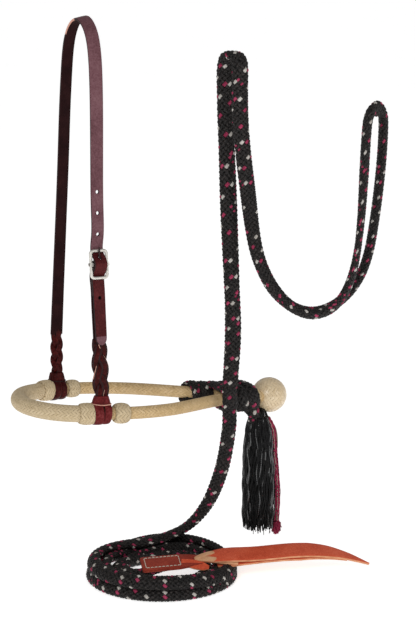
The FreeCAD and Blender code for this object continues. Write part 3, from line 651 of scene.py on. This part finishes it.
slit_braid("far_braid_strands", "far_slit_braid", (62.2, -361.6), (60.8, HINGE_Z), 15.2, 1, 0.85, 0.35)
slit_braid("near_braid_strands", "near_slit_braid", by_buckle(87.6, -9.6), (-60, HINGE_Z), 20, -1, 0.75, 0.9)

# ---------- bosal
NOSE_NEAR_SIDE = [(-76.5, -24), (-65, -43), (-46.5, -55.5), (-25, -60.5)]
NOSE_FAR_SIDE = [(-75.5, 15), (-64, 35.5), (-46, 49.5), (-25, 57.5)]
SHANK_PLAN = [(0, 62), (25, 63.5), (50, 61), (75, 55.5), (100, 46), (125, 34), (150, 22),
              (175, 12.5), (200, 8.2), (214, 7.6), (228, 7.6)]
PLAN = [(x, -y) for x, y in SHANK_PLAN[::-1]] + NOSE_NEAR_SIDE[::-1] + [(-79.5, -4)] + NOSE_FAR_SIDE + SHANK_PLAN
PLAN = cubic([(x, y, 0) for x, y in PLAN], 0.5)
PLAN_LENGTH = arc_length(PLAN)
NOSE_AT = int(np.argmin(PLAN[:, 0]))


def plan_place(x, side):
    """How far along the noseband's line it passes this X on one side."""
    part = slice(0, NOSE_AT) if side < 0 else slice(NOSE_AT, None)
    xs, at = PLAN[part, 0], PLAN_LENGTH[part]
    return np.interp(x, xs[::-1], at[::-1]) if side < 0 else np.interp(x, xs, at)


def plan_line(at):
    """Points and directions of the noseband's line at these lengths: place, along, outward, up."""
    def place(lengths):
        return np.stack([np.interp(lengths, PLAN_LENGTH, PLAN[:, k]) for k in range(3)], axis=1)

    ahead = unit(place(at + 0.5) - place(at - 0.5))
    high = np.broadcast_to(UP, ahead.shape)
    wide = unit(np.cross(ahead, high))
    return moved(place(at), BOSAL), ahead @ BOSAL[0].T, wide @ BOSAL[0].T, high @ BOSAL[0].T


def rawhide_tube(name, node, start, end, radius, carriers, pitch, skin, thick=0.5, lift=0.1):
    """A braided rawhide cover over part of the noseband."""
    step = pitch / (8 * carriers)
    at = np.append(np.arange(start, end - step / 2, step), end)
    centre, along, wide, high = plan_line(at)
    piece = Piece()
    middle = radius - lift - thick / 2
    weave(piece, centre, wide, high, along, middle, middle, TAU * (at - start) / pitch, carriers, thick, lift,
          twill=True)
    # The core under the strands, in the darker gap colour: painted shade between them.
    piece.tube(centre[::4], wide[::4], high[::4], 20, middle - 0.3, slots=1)
    piece.stand_in(name, [skin, "rawhide_gap"], "rawhide", "bosal", node)


rawhide_tube("nose_button_braid", "nose_button", plan_place(-19.4, -1), plan_place(-17.4, 1), 9.3, 16, 64, "rawhide")
for name, node, start, end in (("near_shank_braid", "near_shank", plan_place(224, -1), plan_place(-19, -1)),
                               ("far_shank_braid", "far_shank", plan_place(-17, 1), plan_place(224, 1))):
    rawhide_tube(name, node, start, end, 7, 12, 60, "rawhide_gold", thick=0.4, lift=0.06)


def rawhide_knot(name, node, x, side, bore, radius, length, carriers):
    """A braided knot round the noseband: strands plaited over a barrel, tucked in at both ends."""
    thick, lift, turns = 0.45, 0.09, 0.42
    low = bore + 0.15 * (radius - bore)
    ends = length / 2 - 1
    profile = [(-ends, bore + 0.4, 0)]
    for a in np.linspace(-math.pi / 2, math.pi / 2, 15):
        profile.append((length / 2 * math.sin(a), low + (radius - low) * math.cos(a) ** 0.8, 0))
    profile = spaced(np.array(profile + [(ends, bore + 0.4, 0)]), 0.55)
    slope = directions(profile)
    centre, along, wide, high = plan_line(plan_place(x, side) + profile[:, 0])
    piece = Piece()
    radii = profile[:, 1] - lift - thick / 2
    path = arc_length(profile)
    weave(piece, centre, wide, high, along, radii, radii, TAU * turns * path / path[-1], carriers, thick, lift,
          out=(slope[:, 0], -slope[:, 1]), twill=True, fill=1.02)
    # The core under the strands, in the darker gap colour: painted shade between them.
    piece.tube(centre, wide, high, 24, radii - 0.3, slots=1)
    piece.stand_in(name, ["rawhide", "rawhide_gap"], "rawhide", "bosal", node)


rawhide_knot("nose_end_near_knot", "nose_end_near", -27.2, -1, 9.4, 12.2, 17, 14)
rawhide_knot("nose_end_far_knot", "nose_end_far", -25.2, 1, 9.4, 12.2, 17, 14)
rawhide_knot("side_stop_near_knot", "side_stop_near", 12.8, -1, 7.2, 11.6, 17, 12)
rawhide_knot("side_stop_far_knot", "side_stop_far", 9.6, 1, 7.2, 10.4, 15, 12)

# Heel knot: a ball plaited over, with a smooth cap at each pole.
low, top = (np.array(corner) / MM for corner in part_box("heel_knot"))
BALL, BALL_RADIUS = (low + top) / 2, (top[1] - low[1]) / 2
polar = np.linspace(0.12, math.pi - 0.12, 118)
thick, lift = 0.3, 0.02
reach = BALL_RADIUS - lift - thick / 2
axis, wide, high = (BOSAL[0] @ v for v in (X_AXIS, Y_AXIS, UP))
centre = BALL - (reach * np.cos(polar))[:, None] * axis
ball = Piece()
weave(ball, centre, wide, high, axis, reach * np.sin(polar), reach * np.sin(polar),
      1.15 * np.log(np.tan(polar / 2) / math.tan(0.06)), 22, thick, lift, out=(np.sin(polar), -np.cos(polar)),
      twill=True)
# The core under the strands, in the darker gap colour: painted shade between them.
ball.tube(centre[::3], wide, high, 40, reach * np.sin(polar[::3]) - 0.1, slots=1)
for pole in (-1, 1):
    dome = np.linspace(0.02, 0.2, 7)
    ball.tube(BALL + pole * (BALL_RADIUS * np.cos(dome))[:, None] * axis, wide, high, 18, BALL_RADIUS * np.sin(dome))
ball.stand_in("heel_knot_braid", ["rawhide_pale", "rawhide_gap"], "rawhide", "bosal", "heel_knot")


def closed_directions(path):
    """Directions along a path whose last point is its first."""
    return directions(np.vstack([path[-2:-1], path, path[1:2]]))[1:-1]


def rounded_square(angle):
    """A rounded square's places, as shares of its half sides."""
    return [np.sign(v) * np.abs(v) ** 0.62 for v in (np.cos(angle), np.sin(angle))]


def cheek_wrap(name, node, x, side, length, skin):
    """The hanger's lower end: a collar over the plaited strap, and two bands round the noseband."""
    piece = Piece()
    middle = plan_place(x - 3.4, side)
    turn_at = np.linspace(0, TAU, 49)
    for place, wide_by, skew, radius in ((-0.26, 0.56, 0.9, 10.6), (0.27, 0.46, -0.7, 10.1)):
        centre, _, wide, high = plan_line(middle + side * place * length + skew * np.cos(turn_at))
        path = centre + radius * (np.sin(turn_at)[:, None] * wide + np.cos(turn_at)[:, None] * high)
        along = closed_directions(path)
        out = squared(path - centre, along)
        slots = np.select([STRAP_KINDS == 2, STRAP_KINDS == 0], [4, skin], 1)
        section = strap_section(wide_by * length, 3, 0.3)[0]
        piece.sweep(ring_of(path, np.cross(along, out), out, section), slots=slots, ends=False)

    # The collar narrows upwards, from a rounded square over the bands to the strap's width at the hinge.
    hinge = BOSAL[0].T @ (moved((0, 0, HINGE_Z), HEADSTALL) - BOSAL[1])
    at = np.argmin(np.abs(PLAN_LENGTH - middle))
    tangent = unit(PLAN[at + 3] - PLAN[at - 3])
    across = np.cross(tangent, UP)
    low, top = 8.2, hinge[2] - 5.5

    def leaning(height):
        """The collar's middle at a height: it leans towards the hinge."""
        return PLAN[at] + np.outer((hinge[0] - PLAN[at, 0]) * (height - low) / (top - low), X_AXIS)

    heights = np.linspace(low, top, 12)
    share = (heights - low) / (top - low)
    swell = 1 + 0.05 * np.sin(math.pi * share)
    half_x = ((length / 2 + 1.6) * (1 - share) + 8 * share) * swell
    half_y = (5.4 * (1 - share) + 4.4 * share) * swell
    cx, cy = rounded_square(np.arange(28) * TAU / 28)
    section = np.stack([half_x[:, None] * cx, half_y[:, None] * cy], axis=-1)
    centre = leaning(heights) + np.outer(heights, UP)
    rings = ring_of(centre, np.tile(tangent, (12, 1)), np.tile(across, (12, 1)), section)
    piece.sweep(moved(rings, BOSAL), slots=skin)

    # The cut edge along the collar's lower rim, pale on the near side.
    cx, cy = rounded_square(np.arange(61) * TAU / 60)
    path = leaning(10.6) + np.outer(10.4 + 0.9 * np.abs(cx), UP) + np.outer((length / 2 + 1.5) * cx, tangent) \
        + np.outer(6.3 * cy, across)
    path = moved(path, BOSAL)
    along = closed_directions(path)
    out = squared(unit(path - path[:-1].mean(axis=0)), along)
    piece.tube(path, np.cross(along, out), out, 8, 0.62, 0.5, slots=2 if side < 0 else 4, ends=False)
    piece.stand_in(name, STRAP_SKINS, "latigo", "bosal", node, sharp=50)


cheek_wrap("near_cheek_leather", "near_cheek_wrap", -7.8, -1, 19, 6)
cheek_wrap("far_cheek_leather", "far_cheek_wrap", -7.4, 1, 17, 5)
dress("core_rawhide", "bosal_core")
dress("collar_rawhide", "heel_collar")

# ---------- rope
ROPE_WIDE, ROPE_THICK, ROPE_PITCH = 16.5, 11.9, 50
CARRIERS = 8
ROPE_SWELL = 1.1
TWIST_SWING, TWIST_REACH = 1.3, 91     # the lay of the rope is not quite even along it
LUCK = rng.random(8192)


def flecks(way, i, count):
    """Which yarn shows along a strand: black, crimson or off-white. A few strands carry the colours."""
    float_number = np.round(count / 2).astype(int)
    luck = LUCK[(float_number * 31 + i * 577 + (way + 1) * 1913) % len(LUCK)]
    if way == 1 and i in (0, 1, 4, 5):
        shown = (float_number + i // 4) % 2 == 0
        return np.where(shown & (luck < 0.78), 1 + i % 2, 0)
    return np.where(luck < 0.02, 1, 0)


def rope(name, nodes, line, along, wide, high, half_wide=ROPE_WIDE / 2, half_thick=ROPE_THICK / 2, start=0, fine=1):
    """A braided rope of flat oval section, for CAD nodes: black strands over a core, some with coloured flecks."""
    piece = Piece()
    thick, lift = 2.5 * fine, 0.75 * fine
    inner_wide = np.broadcast_to(half_wide, len(line)) + ROPE_SWELL - lift - thick / 2
    inner_thick = np.broadcast_to(half_thick, len(line)) - lift - thick / 2
    at = start + arc_length(line)
    phase = TAU * at / ROPE_PITCH + TWIST_SWING * np.sin(at / TWIST_REACH)
    weave(piece, line, wide, high, along, inner_wide, inner_thick, phase, CARRIERS, thick, lift, colours=flecks,
          start=start)
    piece.tube(line[::3], wide[::3], high[::3], 14, inner_wide[::3] - 0.2, inner_thick[::3] - 0.2, start=start)
    made = piece.make(name, ["rope_black", "rope_crimson", "rope_white"])
    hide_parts(*nodes)
    return made


# The routes' points are metres, from the crossing in front of the wraps.
REIN = [(0.159, -0.0436, -0.4196), (0.162, -0.0426, -0.396), (0.166, -0.041, -0.356), (0.1655, -0.037, -0.31),
        (0.164, -0.034, -0.258), (0.163, -0.0305, -0.206), (0.1635, -0.027, -0.15), (0.163, -0.024, -0.108),
        (0.164, -0.022, -0.078), (0.1645, -0.021, -0.045), (0.167, -0.0525, -0.0445), (0.166, -0.053, -0.0775),
        (0.1665, -0.052, -0.108), (0.1705, -0.052, -0.15), (0.1775, -0.053, -0.199), (0.182, -0.054, -0.241),
        (0.1885, -0.056, -0.272), (0.2, -0.062, -0.3), (0.2165, -0.071, -0.323), (0.238, -0.082, -0.3365),
        (0.257, -0.091, -0.334), (0.271, -0.099, -0.321), (0.281, -0.104, -0.299), (0.287, -0.108, -0.268),
        (0.291, -0.109, -0.228), (0.293, -0.1095, -0.186), (0.2945, -0.11, -0.144), (0.296, -0.1115, -0.1085),
        (0.3125, -0.103, -0.103), (0.3295, -0.092, -0.1085), (0.33, -0.091, -0.144), (0.327, -0.09, -0.19),
        (0.322, -0.088, -0.237), (0.317, -0.086, -0.271), (0.309, -0.082, -0.298), (0.2955, -0.074, -0.321),
        (0.277, -0.063, -0.337),
        (0.256, -0.053, -0.341), (0.2345, -0.042, -0.331), (0.217, -0.032, -0.31), (0.205, -0.027, -0.28),
        (0.197, -0.024, -0.244), (0.192, -0.023, -0.203), (0.187, -0.022, -0.155), (0.184, -0.022, -0.116),
        (0.183, -0.0225, -0.086), (0.183, -0.022, -0.054), (0.18, 0.0095, -0.054), (0.18, 0.0085, -0.086),
        (0.181, 0.008, -0.119), (0.184, 0.008, -0.165), (0.186, 0.007, -0.215), (0.188, 0.007, -0.268),
        (0.19, 0.007, -0.325), (0.191, 0.008, -0.372), (0.19, 0.009, -0.4), (0.1895, 0.009, -0.4234),
        (0.189, 0.009, -0.4345)]
LEAD = [(0.159, -0.0436, -0.4624), (0.1585, -0.039, -0.49), (0.156, -0.027, -0.529), (0.1505, -0.006, -0.57),
        (0.1395, 0.022, -0.603), (0.117, 0.044, -0.6195), (0.094, 0.05, -0.6238)]
CROSSING = LEAD[0][2] - REIN[0][2]

# The lead lands on the coil and winds anticlockwise from above: an upper outer turn, one below it on the floor,
# one leaning inside them, one on the floor inside that, and a curl to the popper.
coil_low, coil_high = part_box("lead_coil")
COIL_X, COIL_Y = (coil_low[0] + coil_high[0]) / 2, (coil_low[1] + coil_high[1]) / 2
RESTS = FLOOR * MM + 0.0074
COIL_RADIUS = [(101, 68), (117, 75), (134, 80), (420, 80), (444, 81), (461, 81.5), (494, 81), (768, 80), (780, 78),
               (804, 72), (821, 68.5), (854, 68), (1128, 67.5), (1164, 59.5), (1181, 56), (1200, 55), (1470, 54),
               (1500, 49), (1524, 43.5)]
COIL_LIFT = [(101, 14), (134, 13.4), (420, 12.8), (444, 9.5), (461, 5.5), (477, 2), (494, 0), (790, 0), (821, 1.2),
             (837, 3.6), (854, 6.6), (1128, 6.4), (1164, 2.5), (1181, 0.4), (1200, 0), (1524, 0)]
for degrees in list(range(101, 1524, 17)) + [1524]:
    a = math.radians(degrees)
    radius = float(keyed(degrees, COIL_RADIUS)) + 0.5 * math.sin(2.3 * a)
    under_popper = max(0, math.cos(math.radians(degrees - 325))) ** 3
    lift = float(keyed(degrees, COIL_LIFT)) * (1 - 0.55 * under_popper)
    LEAD.append((COIL_X + radius * MM * math.cos(a), COIL_Y + radius * MM * math.sin(a), RESTS + lift * MM))
LEAD += [(0.073, 0.0335, RESTS), (0.056, 0.0255, RESTS), (0.0455, 0.01, RESTS), (0.0465, -0.0075, RESTS + 0.0005),
         (0.058, -0.0185, RESTS + 0.003), (0.0765, -0.0235, RESTS + 0.0075), (0.095, -0.0285, RESTS + 0.01)]


def seen_flat(line, goal, trusted, end):
    """A rope's directions: its flat side turned as wanted, its width to the right in view at one end."""
    along, wide, high = steered(line, goal, trusted)
    side = np.sign(wide[end] @ VIEW_RIGHT)
    return along, side * wide, side * high


rein_line = spline_line(REIN, 1.15)
rein_at = arc_length(rein_line)
share = rein_at / rein_at[-1]
turned = [(0, 0), (0.24, 0), (0.33, 50), (0.41, 84), (0.62, 88), (0.7, 60), (0.78, 0), (1, 0)]
face = np.radians(keyed(share, turned))
along = directions(rein_line)
goal = np.cos(face)[:, None] * unit(np.cross(VIEW_AHEAD, along)) + np.sin(face)[:, None] * VIEW_AHEAD
slim = keyed(share, [(0, 1), (0.36, 1), (0.415, 0.74), (0.455, 0.98), (0.62, 0.98), (0.72, 1), (1, 1)])
rein = rope("rein_rope", ["rein_loop"], rein_line,
            *seen_flat(rein_line, goal, np.abs(along @ VIEW_AHEAD) < 0.55, 0), half_thick=ROPE_THICK / 2 * slim)
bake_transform(rein)

# The short stretch that crosses in front of the shanks, and the lead with its coil, run on from the rein.
line = spaced(np.array([LEAD[0], REIN[0]]) / MM, 1.15)
sideways, upward = np.tile(VIEW_RIGHT, (len(line), 1)), np.tile(UP, (len(line), 1))
crossing = rope("crossing_rope", ["rope_crossing"], line, upward, sideways, np.cross(upward, sideways),
                half_wide=ROPE_WIDE / 2 - 0.6, start=CROSSING / MM)
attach(crossing, "bosal")

lead_line = spline_line(LEAD, 1.15)[::-1]
lead_length = arc_length(lead_line)[-1]
from_top = lead_length - arc_length(lead_line)
flat = np.cross(UP, directions(lead_line))
banked = keyed(from_top, [(0, 0), (215, 0), (300, 0.66), (lead_length - 70, 0.66), (lead_length - 40, 0)])[:, None]
goal = np.where((from_top > 150)[:, None], np.sqrt(1 - banked ** 2) * flat - banked * UP, VIEW_RIGHT)
squashed = keyed(from_top, [(0, 1), (lead_length - 34, 1), (lead_length - 14, 0.56), (lead_length, 0.5)])
lead = rope("lead_rope_coil", ["lead_rope", "lead_coil"], lead_line,
            *seen_flat(lead_line, goal, (from_top < 70) | (from_top > 215), -1),
            half_wide=ROPE_WIDE / 2 - keyed(from_top, [(0, 0.6), (215, 0.6), (320, 0)]),
            half_thick=ROPE_THICK / 2 * squashed, start=CROSSING / MM - lead_length)
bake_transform(lead)


def heel_turns():
    """The line of the rope's turns: first round the far shank, then round both, then down to the tassel."""
    far_turns, both_turns = 2.4, 2.85
    start_angle = math.pi * 0.2
    angle_change = start_angle + TAU * far_turns
    angle = np.arange(start_angle, angle_change + TAU * both_turns, TAU / 60)
    far = angle < angle_change
    x = np.where(far, 138.5 + 26 * (angle - start_angle) / (TAU * far_turns),
                 164.5 + 44.5 * (angle - angle_change) / (TAU * both_turns))
    y_shank = keyed(x, SHANK_PLAN)
    radius = keyed(x, [(133, 11), (157, 11.2), (166, 12), (190, 12.4), (209, 13)])
    reach = np.sin(math.pi / 2 * np.clip(1.6 * np.cos(angle), -1, 1))
    y = np.where(far, y_shank, -y_shank * reach) - radius * np.cos(angle)
    turns = np.stack([x, y, -radius * np.sin(angle)], axis=1)
    stop = np.argmax(angle > angle_change + TAU * (both_turns - 0.16))
    tail = [turns[stop], (211.5, -12.5, -18.5), (213, -9, -27), (214, -7, -35)]
    line = moved(spaced(np.vstack([turns[:stop], cubic(tail, 1)]), 1.1), BOSAL)
    return spaced(np.stack([smoothed(line[:, k], 15) for k in range(3)], axis=1), 1.1)


line = heel_turns()
at_x = ((line - BOSAL[1]) @ BOSAL[0])[:, 0]
goal = np.tile(BOSAL[0] @ X_AXIS, (len(line), 1))
left = arc_length(line)[-1] - arc_length(line)
half_wide = keyed(at_x, [(133, 6.6), (158, 7.2), (170, 8.4), (212, 8.6)]) * keyed(left, [(0, 0.62), (26, 1)])
half_thick = keyed(at_x, [(133, 3.7), (158, 4), (175, 4.7), (190, 5.4), (212, 5.6)])
turns = rope("mecate_turns", ["mecate_wraps", "far_shank_wraps"], line,
             *steered(line, goal, np.abs(directions(line) @ goal[0]) < 0.7),
             half_wide=half_wide, half_thick=half_thick, fine=0.9)
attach(turns, "bosal")

# ---------- tassel
JOINTS = frame["record"]["behaviour"]["joints"]
PIVOT = np.array(next(j["pos_m"] for j in JOINTS if j["name"] == "tassel_swing")) / MM


def yarn(piece, line, radius, sides=5, slot=0, first=(1, 0.3, 0.2)):
    along, side = carried(line, first)
    piece.tube(line, side, np.cross(along, side), sides, radius, slots=slot)


knot = Piece()
for strand in range(84):
    angle = TAU * (strand + rng.random()) / 84
    spread = np.array([2.5 + 2 * rng.random(), 6.6, 9.6, 10.8]) * (0.9 + 0.12 * rng.random())
    lean = angle + 0.25 * rng.standard_normal() * np.array([1, 0.5, 0, 0])
    heights = np.array([12.5, 10.5, 4.5, -5.5]) + rng.uniform(-0.8, 0.8)
    line = cubic(np.stack([spread * np.cos(lean), spread * np.sin(lean), heights], axis=1), 1.2)
    yarn(knot, PIVOT + line, rng.uniform(0.8, 1.2), slot=int(strand % 6 == 0))
angle = np.arange(0, TAU * 4.5, TAU / 24)
reach = 11.2 + 0.3 * np.sin(5.1 * angle)
wound = np.stack([reach * np.cos(angle), reach * np.sin(angle), 2.6 - 1.15 * angle / TAU], axis=1)
yarn(knot, PIVOT + wound, 0.95, first=UP)
dome = np.linspace(0.05, 1.9, 14)
knot.tube(PIVOT + (9.8 * np.cos(dome) + 2)[:, None] * UP, X_AXIS, Y_AXIS, 24, 9.6 * np.sin(dome))
knot.stand_in("tassel_knot_wound", ["yarn_black", "yarn_gloss"], "black_yarn", "tassel_knot", "tassel_neck")

PROFILE = [(-6, 8.5), (-2, 11.2), (4, 13.2), (14, 15.4), (30, 17), (60, 18), (110, 17.6), (140, 16.4)]
skirt = Piece()
depth = np.linspace(0, 1, 40)
for strand in range(430):
    angle = rng.random() * TAU
    surface = strand < 340
    share = math.sqrt(rng.uniform(0.72, 1)) if surface else math.sqrt(rng.random())
    bottom = rng.uniform(114, 134) if strand % 9 else rng.uniform(128, 138.5)
    down = -5 + (bottom + 5) * depth
    wave = np.sin(TAU * (rng.uniform(2, 5) * depth + rng.random()))
    sway = np.sin(TAU * (rng.uniform(1.5, 4) * depth + rng.random()))
    reach = keyed(down, PROFILE) * share * (1 + 0.07 * rng.standard_normal() * depth ** 2) + 0.75 * wave
    drift = angle + 0.16 * rng.standard_normal() * depth + 0.085 * sway
    line = PIVOT + np.stack([reach * np.cos(drift), reach * np.sin(drift), -down], axis=1)
    yarn(skirt, line, rng.uniform(0.6, 1.15) * (1 - 0.35 * depth ** 6), slot=int(surface and strand % 4 == 0))
down = np.linspace(-2, 126, 30)
skirt.tube(PIVOT - down[:, None] * UP, X_AXIS, Y_AXIS, 28, keyed(down, PROFILE) * 0.82)
skirt.stand_in("tassel_black_yarn", ["yarn_black", "yarn_gloss"], "black_yarn", "tassel", "tassel_black")

# The crimson strand: three yarns laid round one another, in a fuzz of loose ones.
crimson = Piece()
line = PIVOT + cubic([(8, -6.5, 2), (12.6, -8.6, -8), (15.2, -9, -26), (17.2, -9, -50), (19.6, -9.4, -76),
                      (20.4, -9.2, -100), (20.2, -7.4, -125)], 1.4)
along, side = carried(line, (1, 0.2, 0.1))
third = np.cross(along, side)
for k in range(3):
    angle = TAU * (arc_length(line) / 15 + k / 3)[:, None]
    yarn(crimson, line + 1.9 * (np.cos(angle) * side + np.sin(angle) * third), 1.75, 6)
for strand in range(40):
    loose = spaced(line, 4)[rng.integers(0, 6):]
    loose = loose + 3.1 * unit(rng.standard_normal(3)) + 0.35 * rng.standard_normal((1, 3))
    yarn(crimson, loose + 0.3 * rng.standard_normal(loose.shape), rng.uniform(0.3, 0.5),
         slot=2 if strand % 2 == 0 else int(strand % 8 == 1))
crimson.stand_in("tassel_crimson_yarn", ["yarn_crimson", "yarn_white", "yarn_black"], "crimson_yarn", "tassel",
                 "tassel_red")

tuft = Piece()
middle = sum(np.array(corner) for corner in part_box("tassel_red_end")) / 2 / MM + np.array([-2.6, -6.4, -2.6])
for strand in range(150):
    heading = unit(rng.standard_normal(3) * (1, 1, 1.1))
    tip_at = middle + heading * np.array([6.8, 5.6, 9.6]) * rng.uniform(0.8, 1)
    root = middle + 3.5 * UP + heading
    yarn(tuft, cubic([root, (root + tip_at) / 2 + 1.6 * UP, tip_at], 1.2), rng.uniform(0.7, 1.05))
tuft.stand_in("tassel_crimson_tuft", ["yarn_crimson"], "crimson_yarn", "tassel", "tassel_red_end")

pale = Piece()
for strand in range(26):
    spread = rng.standard_normal(3) * (0.9, 0.9, 0.4)
    end = rng.uniform(-38, -24)
    points = np.array([(6.5, -5, 2.5), (12, -7.6, -2.5), (16.8, -8, -11), (19.4, -6.8, end)])
    share = np.array([0.3, 0.7, 1, 1.3])[:, None]
    yarn(pale, PIVOT + cubic(points + share * spread, 1.6), rng.uniform(0.3, 0.5))
pale.stand_in("tassel_white_yarn", ["yarn_white"], "white_yarn", "tassel", "tassel_white")

# ---------- popper
POPPER_SKINS = ["russet_" + skin for skin in ("grain", "flesh", "edge", "dark")]
POPPER_WIDE, POPPER_THICK = 30, 2.6
UPPER = [(0, 3), (40, 4.4), (85, 6), (130, 8.5), (180, 10), (220, 5.6), (250, -4.6), (272, -15)]
LOWER = [(88, 1.4), (130, 4.6), (180, 5.8), (215, 1.6), (245, -7)]
upper_line = cubic([(x, 0, z) for x, z in UPPER], 1)


def upper_height(x):
    return np.interp(x, upper_line[:, 0], upper_line[:, 2])


def popper_tail(piece, points, widths, thick=POPPER_THICK, slots=STRAP_KINDS):
    """A flat leather strap in the popper's frame, with its width as (distance along X, share) keys."""
    line = cubic(points, 1.5)
    out = np.tile(UP, (len(line), 1))
    strap(piece, line, out, POPPER, POPPER_WIDE, thick, 0.35, widths=keyed(line[:, 0], widths), slots=slots)


def popper_lip(piece, route, out, width, thick, widths, slots=STRAP_KINDS):
    """A small leather piece on the popper, with its width as (share of its length, share of its width) keys."""
    line = cubic(route, 1.2)
    at = arc_length(line) / arc_length(line)[-1]
    strap(piece, line, np.tile(unit(out), (len(line), 1)), POPPER, width, thick, 0.4, widths=keyed(at, widths),
          slots=slots)


tails = Piece()
popper_tail(tails, [(74, 1, upper_height(74) - 1.2), (84, 0.5, upper_height(84) + 1.2)]
            + [(x, 0, z) for x, z in UPPER[2:] if x > 90],
            [(74, 0.3), (79, 0.62), (86, 0.84), (98, 0.97), (110, 1), (200, 1), (222, 0.86), (250, 0.48),
             (272, 0.05)])
popper_tail(tails, [(x, 0, z) for x, z in LOWER], [(88, 0.8), (100, 0.98), (185, 1), (215, 0.62), (245, 0.08)])
tails.stand_in("popper_tails", POPPER_SKINS, "russet", "hanger", "popper_upper", "popper_lower", sharp=50)

sewn = Piece()
popper_tail(sewn, [(0.4, 0, 2.4), (22, 0, 3.2), (40, 0, 3.8), (56, 0, 4.4), (70, 0, 3.8)],
            [(0, 0.8), (1.2, 0.92), (3.2, 0.98), (44, 0.96), (54, 0.84), (62, 0.74), (70, 0.66)], thick=3.8, slots=3)
# The slit: two lips turned flesh side out, with the tails drawn up between them, and a flap beside it.
for route in ([(63, -0.6, 6.8), (74, 4.4, 8), (85, 9.2, 7.6), (97, 13.4, 5.8)],
              [(63, 0.6, 6.4), (78, -4.8, 7.8), (94, -9.6, 7), (111, -13.6, 5.2)]):
    popper_lip(sewn, route, [-0.12, 0.12 * np.sign(route[2][1]), 1], 9.4, 2.4,
               [(0, 0.55), (0.1, 0.95), (0.7, 0.92), (1, 0.4)], slots=np.where(STRAP_KINDS == 0, 1, STRAP_KINDS))
popper_lip(sewn, [(46, -4, 5.6), (57, -7.5, 4.9), (67, -10.8, 3.5), (77, -12.8, 1.6)], [0, -0.35, 0.9], 13, 2.2,
           [(0, 0.7), (0.5, 1), (0.8, 0.9), (1, 0.4)])
sewn = sewn.make("popper_sewn_end", POPPER_SKINS, sharp=50)
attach(sewn, "hanger")

stitches = Piece()
corners = [(4.6, -10.4), (44.6, -10.4), (44.6, 10.4), (4.6, 10.4)]
for (x0, y0), (x1, y1) in zip(corners, corners[1:] + corners[:1]):
    count = int(round(math.hypot(x1 - x0, y1 - y0) / 4.5))
    for k in range(count):
        ends = [(x0 + (x1 - x0) * s, y0 + (y1 - y0) * s) for s in ((k + 0.14) / count, (k + 0.86) / count)]
        ends = [(x, y, upper_height(x) + POPPER_THICK / 2 + 0.35 * (1 - (y / 15) ** 2) + 0.05) for x, y in ends]
        stitch(stitches, moved(ends[0], POPPER), moved(ends[1], POPPER), POPPER[0] @ UP, radius=0.5, sink=0.15)
stitches = stitches.stand_in("popper_stitches", ["thread"], "thread", "hanger", "popper_stitching")

# ---------- floor, light and camera
bpy.ops.mesh.primitive_grid_add(x_subdivisions=2, y_subdivisions=2, size=80, location=(0, 0, FLOOR * MM - 0.0002))
floor = bpy.context.object
floor.name = "floor"
paper = material("paper", (246, 246, 246), (250, 250, 250), (252, 252, 252), 30, 400, (0.85, 0.95), 0.02,
                 coords="Object", specular=0.1)
fill_in(paper.node_tree, paper.node_tree.nodes["Principled BSDF"],
        {"Emission Color": (1, 1, 1, 1), "Emission Strength": 0.62})
floor.data.materials.append(paper)

scene = bpy.context.scene
scene.world = bpy.data.worlds.new("studio")
scene.world.use_nodes = True
sky = scene.world.node_tree
seen = add_node(sky, "LightPath", {}).outputs["Is Camera Ray"]
strength = add_node(sky, "MapRange", {"Value": seen, "To Min": 0.4, "To Max": 1}).outputs["Result"]
fill_in(sky, sky.nodes["Background"], {"Color": (1, 1, 1, 1), "Strength": strength})


def softbox(name, place, target, size, power):
    light = bpy.data.lights.new(name, "AREA")
    light.shape = "DISK"
    light.size = size
    light.energy = power
    obj = bpy.data.objects.new(name, light)
    obj.location = place
    obj.rotation_euler = (Vector(target) - Vector(place)).to_track_quat("-Z", "Y").to_euler()
    scene.collection.objects.link(obj)


softbox("key", (-1.5, -1.7, 0.9), (0.1, 0, -0.3), 0.8, 20)
softbox("fill", (1.3, -1.8, 0.3), (0.15, 0, -0.3), 1, 7)

camera = bpy.data.objects.new("camera", bpy.data.cameras.new("camera"))
camera.data.sensor_width = 36
camera.data.lens = 107.5
camera.data.clip_start = 0.05
camera.data.clip_end = 60
tilt = math.radians(11.8)
ahead = Vector(VIEW_AHEAD) * math.cos(tilt) - Vector((0, 0, 1)) * math.sin(tilt)
right = Vector(VIEW_RIGHT)
above = right.cross(ahead)
spin = Matrix((right, above, -ahead)).transposed()
camera.matrix_world = Matrix.Translation((-0.8327, -1.8563, 0.099)) @ spin.to_4x4()
scene.collection.objects.link(camera)
scene.camera = camera
scene.view_settings.view_transform = "Standard"
